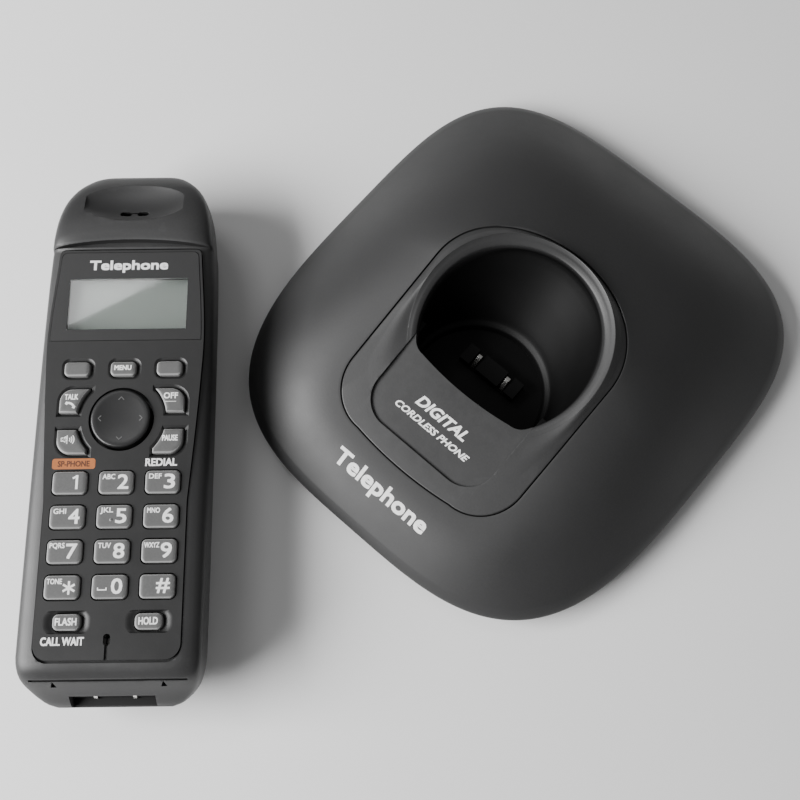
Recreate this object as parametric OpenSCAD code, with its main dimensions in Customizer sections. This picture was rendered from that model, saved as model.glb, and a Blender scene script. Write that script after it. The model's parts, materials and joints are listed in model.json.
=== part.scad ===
// Cordless phone: a charging base with a lean-back cradle, and its handset lying on its back beside it.
// Millimetres. +Z is up, z = 0 is the table, and the front of the base faces -Y.

/* [Layout] */
// Middle of the base, left to right
base_x = 29.8; // [20:0.1:40]
// Middle of the base, front to back
base_y = 43.8; // [30:0.1:60]
// Handset origin (middle of the top row of digit keys), left to right
handset_x = -23.6; // [-40:0.1:-20]
// Handset origin, front to back
handset_y = -61.7; // [-80:0.1:-60]
// Turn of the handset on the table, in degrees
handset_turn = 41.7; // [38:0.1:45]

/* [Base] */
// Half of the width of the base
base_half_w = 66.7; // [66:0.1:70]
// Front of the base, from its middle
base_front = 71.8; // [71:0.1:75]
// Back of the base, from its middle
base_back = 71.8; // [71:0.1:75]
// Height of the parting line between the two cabinets
base_seam_z = 5.4; // [5.2:0.1:6]
// Height of the sharp edge that runs round the dome
rim_z = 8.6; // [8.4:0.1:9]
// Width of the sloped band between that edge and the outside
rim_band = 2.4; // [2:0.1:3]
// Crown of the dome between its edge and the cradle, as a share of its rise
dome_bulge = 0.14; // [0.1:0.01:0.16]
// Wall thickness of the base mouldings
base_wall = 2.2; // [2:0.1:2.4]
// Radius of a rubber foot
foot_r = 5.5; // [5:0.1:6]

/* [Cradle] */
// Half of the width of the cradle insert
pod_half_w = 30.7; // [30.2:0.1:31.2]
// Front of the cradle insert
pod_front = 50.3; // [50:0.1:51]
// Back of the cradle insert
pod_back = 24.5; // [24.3:0.1:25.5]
// Corner radius at the front of the insert
pod_corner_r = 14; // [12:0.5:16]
// Height of the insert's top plane above the middle of the base
pod_z = 31.2; // [30.5:0.1:31.5]
// Slope of that top plane, rise over run
pod_slope = 0.27; // [0.26:0.01:0.28]
// Radius of the pocket's lip
lip_r = 25.5; // [25.2:0.1:25.8]
// Height of the raised hood round the back of the pocket
hood_h = 2; // [1.6:0.1:2.2]
// Depth of the step in the apron in front of the pocket
apron_depth = 0.7; // [0.4:0.1:0.8]
// Height of the pocket's floor
pocket_floor_z = 6; // [5.8:0.1:6.4]

/* [Handset] */
// Thickness of the handset over its face panel
handset_t = 27; // [27:0.1:27.2]
// Wall thickness of the handset shells
shell_t = 1.8; // [1.6:0.1:1.9]
// Height of the parting line between the handset shells
split_z = 14; // [13.9:0.1:14.2]
// How far the battery cover slides
cover_travel = 8; // [4:0.5:8]
// Radius of a battery cell
cell_r = 5.25; // [5:0.05:5.25]
// Length of a battery cell
cell_len = 44.5; // [43:0.5:44.5]

/* [Keys] */
// Spacing of the digit keys across the handset
key_pitch_x = 12.4; // [12.2:0.1:12.6]
// Spacing of the digit keys along the handset
key_pitch_y = 9.2; // [9:0.1:9.4]
// Width of a digit key
key_w = 9.2; // [8.8:0.1:9.4]
// Length of a digit key
key_h = 6.2; // [5.8:0.1:6.4]
// Travel of every key
key_travel = 0.7; // [0.4:0.1:0.7]
// Gap between a key and the face panel round it
key_gap = 0.4; // [0.3:0.05:0.45]
// Radius of the navigator key
nav_r = 8.1; // [7.9:0.1:8.2]

/* [Hidden] */
$fn = 48;
eps = 0.01;

CHARCOAL = "#3c3c3d";
BLACK = "#161616";
KEY_GREY = "#8f9090";
BOARD_GREEN = "#2c5a3a";
METAL = "#c9c9c4";

// ---------------------------------------------------------------- shared shapes

function mix(a, b, t) = a + (b - a) * t;
function clamp01(v) = min(1, max(0, v));
function smooth(v) = clamp01(v) * clamp01(v) * (3 - 2 * clamp01(v));
function middle(ring) = [for (k = [0:2]) [for (p = ring) p[k]] * [for (p = ring) 1] / len(ring)];

// Two triangles between point a, its neighbour b, and c, d on the next ring, facing outwards
function quad(a, b, c, d) = [[a, d, c], [a, c, b]];

// Solid through a list of rings, each counter-clockwise about the way they advance, with both ends closed
module loft(rings) {
    n = len(rings[0]);
    m = len(rings);
    points = concat([for (r = rings) each r], [middle(rings[0]), middle(rings[m - 1])]);
    sides = [for (i = [0:m - 2], j = [0:n - 1])
        each quad(i * n + j, i * n + (j + 1) % n, (i + 1) * n + (j + 1) % n, (i + 1) * n + j)];
    first_cap = [for (j = [0:n - 1]) [m * n, j, (j + 1) % n]];
    last_cap = [for (j = [0:n - 1]) [m * n + 1, (m - 1) * n + (j + 1) % n, (m - 1) * n + j]];
    polyhedron(points, concat(sides, first_cap, last_cap), convexity = 6);
}

// The same, but the last ring joins the first, so the solid is a frame with a hole through it
module loft_loop(rings) {
    n = len(rings[0]);
    m = len(rings);
    points = [for (r = rings) each r];
    sides = [for (i = [0:m - 1], j = [0:n - 1]) let (k = (i + 1) % m)
        each quad(i * n + j, i * n + (j + 1) % n, k * n + (j + 1) % n, k * n + j)];
    polyhedron(points, sides, convexity = 6);
}

// Rounded rectangle about the origin
module round_rect(w, h, r) {
    square([w - 2 * r, h], center = true);
    square([w, h - 2 * r], center = true);
    for (sx = [-1, 1], sy = [-1, 1])
        translate([sx * (w / 2 - r), sy * (h / 2 - r)])
            circle(r = r);
}

// Box by its middle in x, and its limits in y and z
module span(w, y, z, x = 0) {
    translate([x - w / 2, y[0], z[0]])
        cube([w, y[1] - y[0], z[1] - z[0]]);
}

module at_base() {
    translate([base_x, base_y, 0])
        children();
}

module at_handset() {
    translate([handset_x, handset_y, 0])
        rotate([0, 0, handset_turn])
            children();
}

// ---------------------------------------------------------------- outlines of the base, seen from above

SIDE_N = 10;    // steps along each straight side
BACK_N = 36;    // steps round the back
CORNER_N = 6;   // steps round each front corner
FRONT_N = 8;    // steps across the front
RIM_MID_Y = 7.5;
RIM_POWER_FRONT = 3.4;
RIM_POWER_BACK = 3.7;
POD_SIDE_FRONT = pod_front - pod_corner_r;
LIP_MID_Y = -5.5;
LIP_FRONT = 23.5;
LIP_CORNER_R = 5.5;
LEDGE_R = 21.5;
LEDGE_MID_Y = -17.5;
LEDGE_FRONT = 24.5;
LEDGE_CORNER_R = 4;
FRONT_BOW = 1.2;

function arc_points(c, r, from, to, steps) =
    [for (i = [0:steps - 1]) let (a = mix(from, to, i / steps)) c + r * [cos(a), sin(a)]];

// Front edge from left to right, bowed a little outwards
function front_points(x, y, steps) =
    [for (i = [0:steps - 1]) let (t = i / steps) [mix(-x, x, t), y - FRONT_BOW * 4 * t * (1 - t)]];

// Outline of the cradle insert, grown by g: straight sides, oval back, round front corners
function pod_outline(g) =
    let (w = pod_half_w + g, r = pod_corner_r + g, x = w - r)
    concat(
        [for (i = [0:SIDE_N - 1]) [w, -POD_SIDE_FRONT * (1 - i / SIDE_N)]],
        [for (p = arc_points([0, 0], 1, 0, 180, BACK_N)) [w * p[0], (pod_back + g) * p[1]]],
        [for (i = [0:SIDE_N - 1]) [-w, -POD_SIDE_FRONT * i / SIDE_N]],
        arc_points([-x, -POD_SIDE_FRONT], r, 180, 270, CORNER_N),
        front_points(x, -POD_SIDE_FRONT - r, FRONT_N),
        arc_points([x, -POD_SIDE_FRONT], r, 270, 360, CORNER_N));

// A circle of radius r about [0, cy], cut off at y = -front with fillets of radius rc, grown by g
function dee_outline(r, cy, front, rc, g) =
    let (
        big = r + g,
        small = rc + g,
        fillet_y = -front - g + small,
        fillet_x = sqrt(pow(big - small, 2) - pow(fillet_y - cy, 2)),
        a = atan2(fillet_y - cy, fillet_x)
    )
    concat(
        arc_points([0, cy], big, a, 180 - a, BACK_N + 2 * SIDE_N),
        arc_points([-fillet_x, fillet_y], small, 180 - a, 270, CORNER_N),
        front_points(fillet_x, fillet_y - small, FRONT_N),
        arc_points([fillet_x, fillet_y], small, -90, a, CORNER_N));

function lip_outline(g) = dee_outline(lip_r, LIP_MID_Y, LIP_FRONT, LIP_CORNER_R, g);
function ledge_outline(g) = dee_outline(LEDGE_R, LEDGE_MID_Y, LEDGE_FRONT, LEDGE_CORNER_R, g);

// Outline of the base, grown by g, with its points on the same rays as those of the insert
function rim_radius(a, g) =
    let (
        back = sin(a) > 0,
        reach = (back ? base_back - RIM_MID_Y : base_front + RIM_MID_Y) + g,
        power = back ? RIM_POWER_BACK : RIM_POWER_FRONT
    )
    pow(pow(abs(cos(a)) / (base_half_w + g), power) + pow(abs(sin(a)) / reach, power), -1 / power);

function rim_outline(g) =
    [for (p = pod_outline(0)) let (a = atan2(p[1] - RIM_MID_Y, p[0]), r = rim_radius(a, g))
        [r * cos(a), RIM_MID_Y + r * sin(a)]];

BACK_FLATTEN = 0.0079;

// Height of the insert's top: a slope that eases off towards the back
function top_plane(y) = pod_z + pod_slope * y - BACK_FLATTEN * pow(max(0, y), 2);
function flat_ring(outline, z) = [for (p = outline) [p[0], p[1], z]];
function sloped_ring(outline, dz) = [for (p = outline) [p[0], p[1], top_plane(p[1]) + dz]];

// Ring of the dome, a share u of the way from its edge up to the cradle, lowered by drop
function dome_ring(u, inset, drop) =
    let (low = rim_outline(-rim_band - inset), high = pod_outline(0))
    [for (i = [0:len(low) - 1]) let (rise = top_plane(high[i][1]) - rim_z)
        [mix(low[i][0], high[i][0], u), mix(low[i][1], high[i][1], u),
            rim_z + rise * (u + dome_bulge * sin(180 * u)) - drop]];

DOME_STEPS = [0, 0.12, 0.28, 0.46, 0.64, 0.82, 1];
DOME_N = len(DOME_STEPS);

// The whole dome as one solid lump, to cut posts to its shape
module dome_lump(drop) {
    loft(concat(
        [flat_ring(rim_outline(-rim_band - base_wall), base_seam_z - 3)],
        [for (u = DOME_STEPS) dome_ring(u, base_wall, drop)]));
}

// ---------------------------------------------------------------- base

SCREW_SPOTS = [[48, 32], [-48, 32], [48, -34], [-48, -34]];
FOOT_SPOTS = [[41, 48], [-41, 48], [40, -49], [-40, -49]];
BOARD_SPOTS = [[31, 31], [-31, 31], [31, 45], [-31, 45]];
BASE_FLOOR_Z = 1.2;
BASE_FLOOR_TOP = 3.2;
BOARD_Z = 14;
BOARD_T = 1.6;
JACK_FACE_Y = 50;
JACK_X = 16;
RECESS_BACK = 56;
RECESS_HALF_W = 24;
RECESS_TOP = 12;
RECESS_WALL = 1.2;
GROOVE_W = 6.4;
GROOVE_TOP = 4.6;
JACK_Z = [3.6, 13.8];
LINE_JACK_W = 13.4;
POWER_JACK_W = 9.4;
LOCATOR_W = 12;
LOCATOR_Z = [2.3, 4.7];
SCREW_R = 1.4;
HEAD_R = 2.8;

module base_top_cabinet() color(CHARCOAL) at_base() {
    difference() {
        union() {
            loft_loop(concat(
                [
                    flat_ring(rim_outline(0), base_seam_z),
                    flat_ring(rim_outline(-0.15), base_seam_z + 0.8)
                ],
                [for (u = DOME_STEPS) dome_ring(u, 0, 0)],
                [for (i = [1:DOME_N]) dome_ring(DOME_STEPS[DOME_N - i], base_wall, base_wall)],
                [flat_ring(rim_outline(-rim_band - base_wall), base_seam_z)]));
            intersection() {
                dome_lump(1);
                for (p = SCREW_SPOTS)
                    translate([p[0], p[1], BASE_FLOOR_TOP + 0.2])
                        cylinder(r = 3.6, h = 30);
            }
        }
        for (p = SCREW_SPOTS)
            translate([p[0], p[1], 0])
                cylinder(r = SCREW_R + 0.05, h = 12.4);
    }
}

// Walls round the recess for the plugs, and over the two grooves that lead their leads out at the back
module cord_recess(grow, low) {
    span(2 * (RECESS_HALF_W + grow), [JACK_FACE_Y - grow, RECESS_BACK + grow], [low, RECESS_TOP + grow]);
    for (s = [-1, 1])
        span(GROOVE_W + 2 * min(grow, 1), [RECESS_BACK - 1, 80], [low, GROOVE_TOP + min(grow, 0.6)], s * JACK_X);
}

module bottom_lump(inset) {
    loft([
        flat_ring(rim_outline(-6.7 - inset), BASE_FLOOR_Z),
        flat_ring(rim_outline(-5.2 - inset), BASE_FLOOR_Z + 0.5),
        flat_ring(rim_outline(-0.7 - inset), base_seam_z)
    ]);
}

module base_bottom_cabinet() color(BLACK) at_base() {
    difference() {
        union() {
            loft([
                flat_ring(rim_outline(-6.7), BASE_FLOOR_Z),
                flat_ring(rim_outline(-5.2), BASE_FLOOR_Z + 0.5),
                flat_ring(rim_outline(-0.7), base_seam_z),
                flat_ring(rim_outline(-3), base_seam_z),
                flat_ring(rim_outline(-8), BASE_FLOOR_TOP)
            ]);
            intersection() {
                cord_recess(RECESS_WALL, BASE_FLOOR_Z);
                union() {
                    bottom_lump(0);
                    span(140, [40, RECESS_BACK + RECESS_WALL], [2, 20]);
                }
            }
            for (p = BOARD_SPOTS)
                translate([p[0], p[1], 2])
                    cylinder(r = 3, h = BOARD_Z - 2);
        }
        cord_recess(0, -1);
        // Windows for the two jacks in the front wall of the recess
        span(LINE_JACK_W + 0.4, [40, JACK_FACE_Y + eps], [BASE_FLOOR_TOP + 0.1, RECESS_TOP + 2], -JACK_X);
        span(POWER_JACK_W + 0.4, [40, JACK_FACE_Y + eps], [BASE_FLOOR_TOP + 0.1, RECESS_TOP + 2], JACK_X);
        // Window for the locator key under the back edge
        span(LOCATOR_W + 0.6, [60.1, 80], [LOCATOR_Z[0] - 0.2, LOCATOR_Z[1] + 0.2]);
        span(LOCATOR_W + 3.6, [60.1, 62.3], [LOCATOR_Z[0] - 0.2, 10]);
        for (p = SCREW_SPOTS)
            translate([p[0], p[1], -1]) {
                cylinder(r = SCREW_R + 0.2, h = 10);
                cylinder(r = HEAD_R + 0.2, h = 2 + BASE_FLOOR_Z - 0.2);
            }
        for (p = FOOT_SPOTS)
            translate([p[0], p[1], 0])
                cylinder(r = foot_r + 0.1, h = BASE_FLOOR_Z + 0.6);
        // Cooling slots
        for (s = [-1, 1], k = [0:4])
            span(1.6, [-20, 6], [-1, 6], s * (30 + 4 * k - 8));
        for (p = BOARD_SPOTS)
            translate([p[0], p[1], BOARD_Z - 8])
                cylinder(r = 1.1, h = 9);
    }
}

// Hood of the pocket: 1 round the back, fading to 0 at the front lip
function hood(y) = smooth((y + 22) / 22);
function hood_ring(g, up, down) =
    [for (p = lip_outline(g)) [p[0], p[1], top_plane(p[1]) + up * hood(p[1]) - down]];
function between_ring(t, up) =
    let (a = pod_outline(-0.6), b = lip_outline(2.8))
    [for (i = [0:len(a) - 1]) let (p = mix(a[i], b[i], t))
        [p[0], p[1], top_plane(p[1]) + up * (0.3 + 0.7 * hood(p[1]))]];
function wall_ring(t, g, low) =
    let (a = lip_outline(g - 0.6), b = ledge_outline(g))
    [for (i = [0:len(a) - 1]) let (p = mix(a[i], b[i], t))
        [p[0], p[1], mix(top_plane(a[i][1]) - 4, low, t)]];

PLATFORM_HALF_W = 10;
PLATFORM_Y = [-13, -7.4];
PLATFORM_TOP = 9.6;
CONTACT_X = 5.3;
CONTACT_W = 1.4;
SLOT_W = 2.4;
LEDGE_Z = 9;

module apron_outline() {
    half_w = 21;
    corner = 9;
    front = 46.9;
    translate([0, -(front + 20) / 2])
        round_rect(2 * half_w, front - 20, corner);
    translate([-half_w, -30])
        square([2 * half_w, 12]);
}

module cradle_insert() color(CHARCOAL) at_base() {
    wall = 2;
    difference() {
        union() {
            loft([
                flat_ring(ledge_outline(0.6), pocket_floor_z - wall),
                flat_ring(ledge_outline(wall), pocket_floor_z - 0.6),
                wall_ring(1, wall, LEDGE_Z),
                wall_ring(0, wall, LEDGE_Z),
                sloped_ring(pod_outline(1.6), -base_wall - 3),
                sloped_ring(pod_outline(1.6), -base_wall - 1.7),
                sloped_ring(pod_outline(-0.2), -base_wall - 0.1),
                sloped_ring(pod_outline(-0.2), -0.35),
                sloped_ring(pod_outline(-0.6), 0),
                between_ring(0.35, 0.6),
                between_ring(0.7, 1.4),
                hood_ring(2.8, hood_h, 0),
                hood_ring(2.6, hood_h - 0.1, 0),
                hood_ring(1.2, hood_h - 0.8, 0.1),
                hood_ring(0.3, hood_h - 1, 0.5),
                hood_ring(0, hood_h - 1.1, 0.9),
                hood_ring(-0.2, hood_h - 1.2, 1.8),
                wall_ring(0, 0, LEDGE_Z),
                wall_ring(0.5, 0, LEDGE_Z),
                wall_ring(1, 0, LEDGE_Z),
                flat_ring(ledge_outline(-0.7), LEDGE_Z - 0.4),
                flat_ring(ledge_outline(-1.5), LEDGE_Z - 1.2),
                flat_ring(ledge_outline(-1.9), pocket_floor_z)
            ]);
            span(2 * PLATFORM_HALF_W, PLATFORM_Y, [pocket_floor_z - 1, PLATFORM_TOP]);
            // Guide ribs in the two front corners
            intersection() {
                for (s = [-1, 1])
                    span(3, [-19.5, -15.5], [pocket_floor_z, 22.5], s * 22.6);
                loft([
                    flat_ring(ledge_outline(1), pocket_floor_z - 1),
                    flat_ring(ledge_outline(1), LEDGE_Z),
                    hood_ring(0.5, 0, 1)
                ]);
            }
        }
        for (s = [-1, 1])
            span(SLOT_W, [PLATFORM_Y[0] - 1, PLATFORM_Y[1] + 1], [pocket_floor_z + 1, 20], s * CONTACT_X);
        translate([0, 0, pod_z])
            rotate([atan(pod_slope), 0, 0])
                translate([0, 0, -apron_depth])
                    linear_extrude(6)
                        apron_outline();
    }
}

// One bent spring contact, standing proud of the platform
module charge_contact(side) color(METAL) at_base() {
    t = 0.45;
    low = pocket_floor_z + 2.25;
    back = PLATFORM_Y[1] - 0.4;
    bend_y = back - 1.5;
    top = PLATFORM_TOP + 0.9;
    translate([side * CONTACT_X - CONTACT_W / 2, 0, 0])
        rotate([90, 0, 90])
            linear_extrude(CONTACT_W)
                polygon([
                    [PLATFORM_Y[0] + 0.3, low], [bend_y - 0.5, top], [bend_y + 0.5, top], [back, low],
                    [back - t, low], [bend_y + 0.2, top - t], [bend_y - 0.2, top - t],
                    [PLATFORM_Y[0] + 0.3 + 1.4 * t, low]
                ]);
}

module charge_contact_left() {
    charge_contact(-1);
}

module charge_contact_right() {
    charge_contact(1);
}

module base_circuit_board() color(BOARD_GREEN) at_base() {
    difference() {
        union() {
            span(72, [27, 49], [BOARD_Z, BOARD_Z + BOARD_T]);
            span(16, [30, 40], [BOARD_Z + BOARD_T - eps, BOARD_Z + 4], -20);
            span(9, [31, 38], [BOARD_Z + BOARD_T - eps, BOARD_Z + 2.6], -2);
            for (k = [0:3])
                translate([10 + 5 * k, 44, BOARD_Z + BOARD_T - eps])
                    cylinder(r = 2, h = 3.4 - 0.4 * (k % 2));
            for (k = [0:4])
                span(1.6, [40, 42.5], [BOARD_Z + BOARD_T - eps, BOARD_Z + 2.4], -8 + 3.2 * k);
        }
        for (p = BOARD_SPOTS)
            translate([p[0], p[1], BOARD_Z - 1])
                cylinder(r = 1.5, h = 4);
    }
}

module base_antenna() color(METAL) at_base() {
    low = BOARD_Z + BOARD_T;
    span(22, [28.4, 30], [low + 3.4, low + 3.9], 12);
    span(0.8, [28.4, 30], [low, low + 3.5], 1.4);
    span(0.8, [28.4, 30], [low, low + 3.5], 6);
}

module line_jack() color(BLACK) at_base() {
    difference() {
        span(LINE_JACK_W, [JACK_FACE_Y - 14.5, JACK_FACE_Y], JACK_Z, -JACK_X);
        span(9.8, [JACK_FACE_Y - 12, JACK_FACE_Y + 1], [5, 11.4], -JACK_X);
        span(6, [JACK_FACE_Y - 12, JACK_FACE_Y + 1], [11.3, 12.9], -JACK_X);
    }
    for (k = [-1.5:1:1.5])
        span(0.4, [JACK_FACE_Y - 12.5, JACK_FACE_Y - 4], [4.8, 5.4], -JACK_X + 1.27 * k);
}

module power_jack() color(BLACK) at_base() {
    mid_z = 8;
    difference() {
        span(POWER_JACK_W, [JACK_FACE_Y - 11.5, JACK_FACE_Y], JACK_Z, JACK_X);
        translate([JACK_X, JACK_FACE_Y - 9.5, mid_z])
            rotate([-90, 0, 0])
                cylinder(r = 2.75, h = 12);
    }
    translate([JACK_X, JACK_FACE_Y - 10, mid_z])
        rotate([-90, 0, 0])
            cylinder(r = 0.65, h = 9);
}

module locator_key() color(CHARCOAL) at_base() {
    span(LOCATOR_W, [61, 69.4], LOCATOR_Z);
    span(LOCATOR_W + 3, [61, 62], [LOCATOR_Z[0] + eps, LOCATOR_Z[1] + 1]);
}

module rubber_feet() color(BLACK) at_base() {
    for (p = FOOT_SPOTS)
        translate([p[0], p[1], 0])
            cylinder(r = foot_r, h = BASE_FLOOR_Z + 0.6);
}

// Cross-head screw pointing up: head from z, shaft of the given length above it
module screw(head_r, head_h, shaft_r, length) {
    difference() {
        cylinder(r = head_r, h = head_h);
        for (a = [0, 90])
            rotate([0, 0, a])
                translate([-head_r * 0.6, -0.3, -eps])
                    cube([head_r * 1.2, 0.6, head_h * 0.6]);
    }
    translate([0, 0, head_h - eps])
        cylinder(r = shaft_r, h = length);
}

module base_screws() color(METAL) at_base() {
    for (p = SCREW_SPOTS)
        translate([p[0], p[1], BASE_FLOOR_Z - 0.6])
            screw(HEAD_R, 1.4, SCREW_R, 9);
    for (p = BOARD_SPOTS)
        translate([p[0], p[1], BOARD_Z + BOARD_T + 1.2])
            rotate([180, 0, 0])
                screw(2.2, 1.2, 1, 6);
}

// ---------------------------------------------------------------- handset body

// Stations along the handset: [y, half width, underside z, top z, bow of the station towards +y]
STATIONS = [
    [-57.7, 15.0, 11.3, 14.6, 0],
    [-57.0, 17.2, 9.2, 15.9, 0],
    [-55.5, 19.4, 6.6, 17.8, 0],
    [-53.5, 21.4, 4.2, 20.4, 0],
    [-51.5, 22.8, 2.6, 23.5, 0],
    [-50.0, 23.4, 1.8, 25.2, 0],
    [-48.0, 23.9, 1.0, 26.4, 0],
    [-45.0, 24.2, 0.4, handset_t, 0],
    [-38.0, 24.2, 0, handset_t, 0],
    [14.0, 24.0, 0, handset_t, 0],
    [40.0, 23.8, 0, handset_t, 0],
    [62.0, 23.4, 0, handset_t, 0],
    [67.8, 23.1, 0.3, handset_t, 0.1],
    [68.8, 23.0, 0.4, handset_t + 1.2, 2],
    [71.5, 22.8, 0.7, handset_t + 1.5, 1.5],
    [76.0, 22.3, 1.3, handset_t + 1.3, 0.5],
    [82.0, 21.0, 2.7, handset_t + 0.2, 0],
    [87.0, 18.7, 4.9, handset_t - 1.5, 0],
    [91.0, 15.2, 7.7, handset_t - 3.7, 0],
    [93.5, 11.3, 10.6, handset_t - 5.9, 0],
    [94.7, 6.8, 13.5, handset_t - 8.6, 0]
];
SECTION_N = 40;
WIDEST = 0.74;       // share of the height at which a section is widest
TOP_POWER = 6;       // squareness above the widest line
BACK_POWER = 2.5;    // squareness below it
HANDSET_MID_Y = 18.5;
HANDSET_LEN = 152.4;

function section_point(a, w, low, high) =
    let (
        power = sin(a) > 0 ? TOP_POWER : BACK_POWER,
        waist = mix(low, high, WIDEST),
        tall = sin(a) > 0 ? high - waist : waist - low,
        r = pow(pow(abs(cos(a)) / w, power) + pow(abs(sin(a)) / tall, power), -1 / power)
    )
    [r * cos(a), waist + r * sin(a)];

// Angles closer together at the shoulders, where the section turns quickly
function section_angle(i) = let (a = -360 * i / SECTION_N) a + 9 * sin(2 * a) * (sin(a) > 0 ? -1 : 0);

function section_ring(s, g) =
    let (y = HANDSET_MID_Y + (s[0] - HANDSET_MID_Y) * (1 - 2 * g / HANDSET_LEN))
    [for (i = [0:SECTION_N - 1])
        let (p = section_point(section_angle(i), s[1] - g, s[2] + g, s[3] - g))
        [p[0], y + s[4] * (1 - pow(p[0] / s[1], 2)), p[1]]];

// Outside of the handset, shrunk by g
module handset_skin(g) {
    loft([for (s = STATIONS) if (s[3] - s[2] > 2 * g + 2 && s[1] > g + 6) section_ring(s, g)]);
}

// The middle cross-section as a straight bar, shrunk by g
module section_bar(g, y) {
    translate([0, y[1], 0])
        rotate([90, 0, 0])
            linear_extrude(y[1] - y[0])
                polygon([for (i = [0:SECTION_N - 1])
                    section_point(section_angle(SECTION_N - i), 24.1 - g, g, handset_t - g)]);
}

PANEL_TOP = handset_t;
DECK_TOP = handset_t - 1.6;
DECK_LOW = handset_t - 3.2;
PANEL_Y = [-46.1, 67.5];
PANEL_SIDE = [[19, -42.1], [19, -5], [20.4, 14], [21.2, 27], [21.7, 40], [20, PANEL_Y[1]]];
PANEL_CORNER_R = 4;
WINDOW_Y = [40.3, 66.8];
GLASS_Y = [43.6, 58.7];
GLASS_W = 33.2;
BOARD_TOP = 20.8;
MAT_TOP = 22;
KEY_LOW = MAT_TOP + key_travel + 0.15;
FLANGE_T = 0.7;
KEY_TOP = handset_t + 0.9;
NAV_X = 0.2;
NAV_Y = 17.6;
SOFT_Y = 31.9;
SOFT_SIZE = [7, 4];
LOW_KEY_X = 10.6;
LOW_KEY_Y = -36.5;
MIC_Y = -41;
SLOT_Y = 79.4;
RECEIVER_Y = 80;
SPEAKER_Y = 47;
BAY_Y = [-39.5, 9.5];
BAY_HALF_W = 11.2;
BAY_TOP = 13.5;
COVER_HALF_W = 16;
COVER_Y = [-46.5, 14];
COVER_T = 1.3;
COVER_GAP = 0.3;
UPPER_SCREWS = [[14, 71], [-14, 71]];
LOWER_SCREWS = [[14, -44.5], [-14, -44.5]];
SCREW_LOW = 5.2;
NOSE_HALF_W = 11.3;
NOSE_Z = [12.5, 18.6];
// Face of the block behind the charge terminals in side view, as [y, z] from the bottom up
NOSE_FACE = [[-55.1, NOSE_Z[0] + 0.9], [-55.1, 14.2], [-52.6, NOSE_Z[1] - 0.2]];

function dial_spot(i) = [key_pitch_x * (i % 3 - 1), -key_pitch_y * floor(i / 3)];

// Outline of the face panel, shrunk by g
module panel_outline(g) {
    r = PANEL_CORNER_R - g;
    side = [for (p = PANEL_SIDE) [p[0] - g, min(p[1], PANEL_Y[1] - g)]];
    polygon(concat(side, [for (i = [1:len(side)]) [-side[len(side) - i][0], side[len(side) - i][1]]]));
    translate([0, PANEL_Y[0] + g + r + 1])
        square([2 * (side[0][0] - r), 2 * r + 2], center = true);
    for (s = [-1, 1])
        translate([s * (side[0][0] - r), PANEL_Y[0] + g + r])
            circle(r = r);
}

// Talk, off, speaker and pause keys: an outer corner, and an arc round the navigator, grown by g
module corner_key_outline(sx, sy, g) {
    x = [9.2 - g, 17.2 + g];
    y = [2.4 - g, 9.1 + g];
    r = 3.6 + g;
    arc_r = 12.3 - g;
    translate([NAV_X, NAV_Y - 0.6])
        scale([sx, sy])
            difference() {
                union() {
                    translate([x[0] - NAV_X, y[0]])
                        square([x[1] - x[0] - r, y[1] - y[0]]);
                    translate([x[0] - NAV_X, y[0]])
                        square([x[1] - x[0], y[1] - y[0] - r]);
                    translate([x[1] - r - NAV_X, y[1] - r])
                        circle(r = r);
                }
                translate([0, 0.6 * sy])
                    circle(r = arc_r);
            }
}

module dial_outline(i, g) {
    translate(dial_spot(i))
        round_rect(key_w + 2 * g, key_h + 2 * g, 1.3 + g);
}

module soft_outline(i, g) {
    translate([12.7 * i, SOFT_Y])
        round_rect(SOFT_SIZE[0] + 2 * g, SOFT_SIZE[1] + 2 * g, 1.2 + g);
}

module low_key_outline(s, g) {
    translate([s * LOW_KEY_X, LOW_KEY_Y])
        round_rect(7.2 + 2 * g, 4.2 + 2 * g, 1.5 + g);
}

// All key openings, cut through the panel and the deck under it
module key_openings(g) {
    for (i = [0:11])
        dial_outline(i, g);
    for (i = [-1:1])
        soft_outline(i, g);
    for (sx = [-1, 1], sy = [-1, 1])
        corner_key_outline(sx, sy, g);
    for (s = [-1, 1])
        low_key_outline(s, g);
    translate([NAV_X, NAV_Y])
        circle(r = nav_r + 0.8);
    translate([0, MIC_Y])
        round_rect(1.8, 3, 0.85);
}

// Dish round the ear holes: a long round body lying across the handset
module ear_dish(g) {
    half_len = 14.2;
    deep = 12.4;
    shallow = 10.3;
    arc_r = (pow(half_len, 2) + pow(deep - shallow, 2)) / (2 * (deep - shallow));
    half_angle = asin(half_len / arc_r);
    translate([0, 85.6, handset_t + 9.3])
        rotate([0, 90, 0])
            rotate_extrude($fn = 64)
                polygon(concat(
                    [[0, -half_len]],
                    [for (i = [-8:8]) let (a = half_angle * i / 8)
                        [deep - arc_r + arc_r * cos(a) + g, arc_r * sin(a)]],
                    [[0, half_len]]));
}

module boss_group(spots, r, z) {
    for (p = spots)
        translate([p[0], p[1], z[0]])
            cylinder(r = r, h = z[1] - z[0]);
}

module nose_window(grow) {
    span(2 * (NOSE_HALF_W + grow), [-60, -50.6], [NOSE_Z[0] - grow, NOSE_Z[1] + grow]);
}

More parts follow.
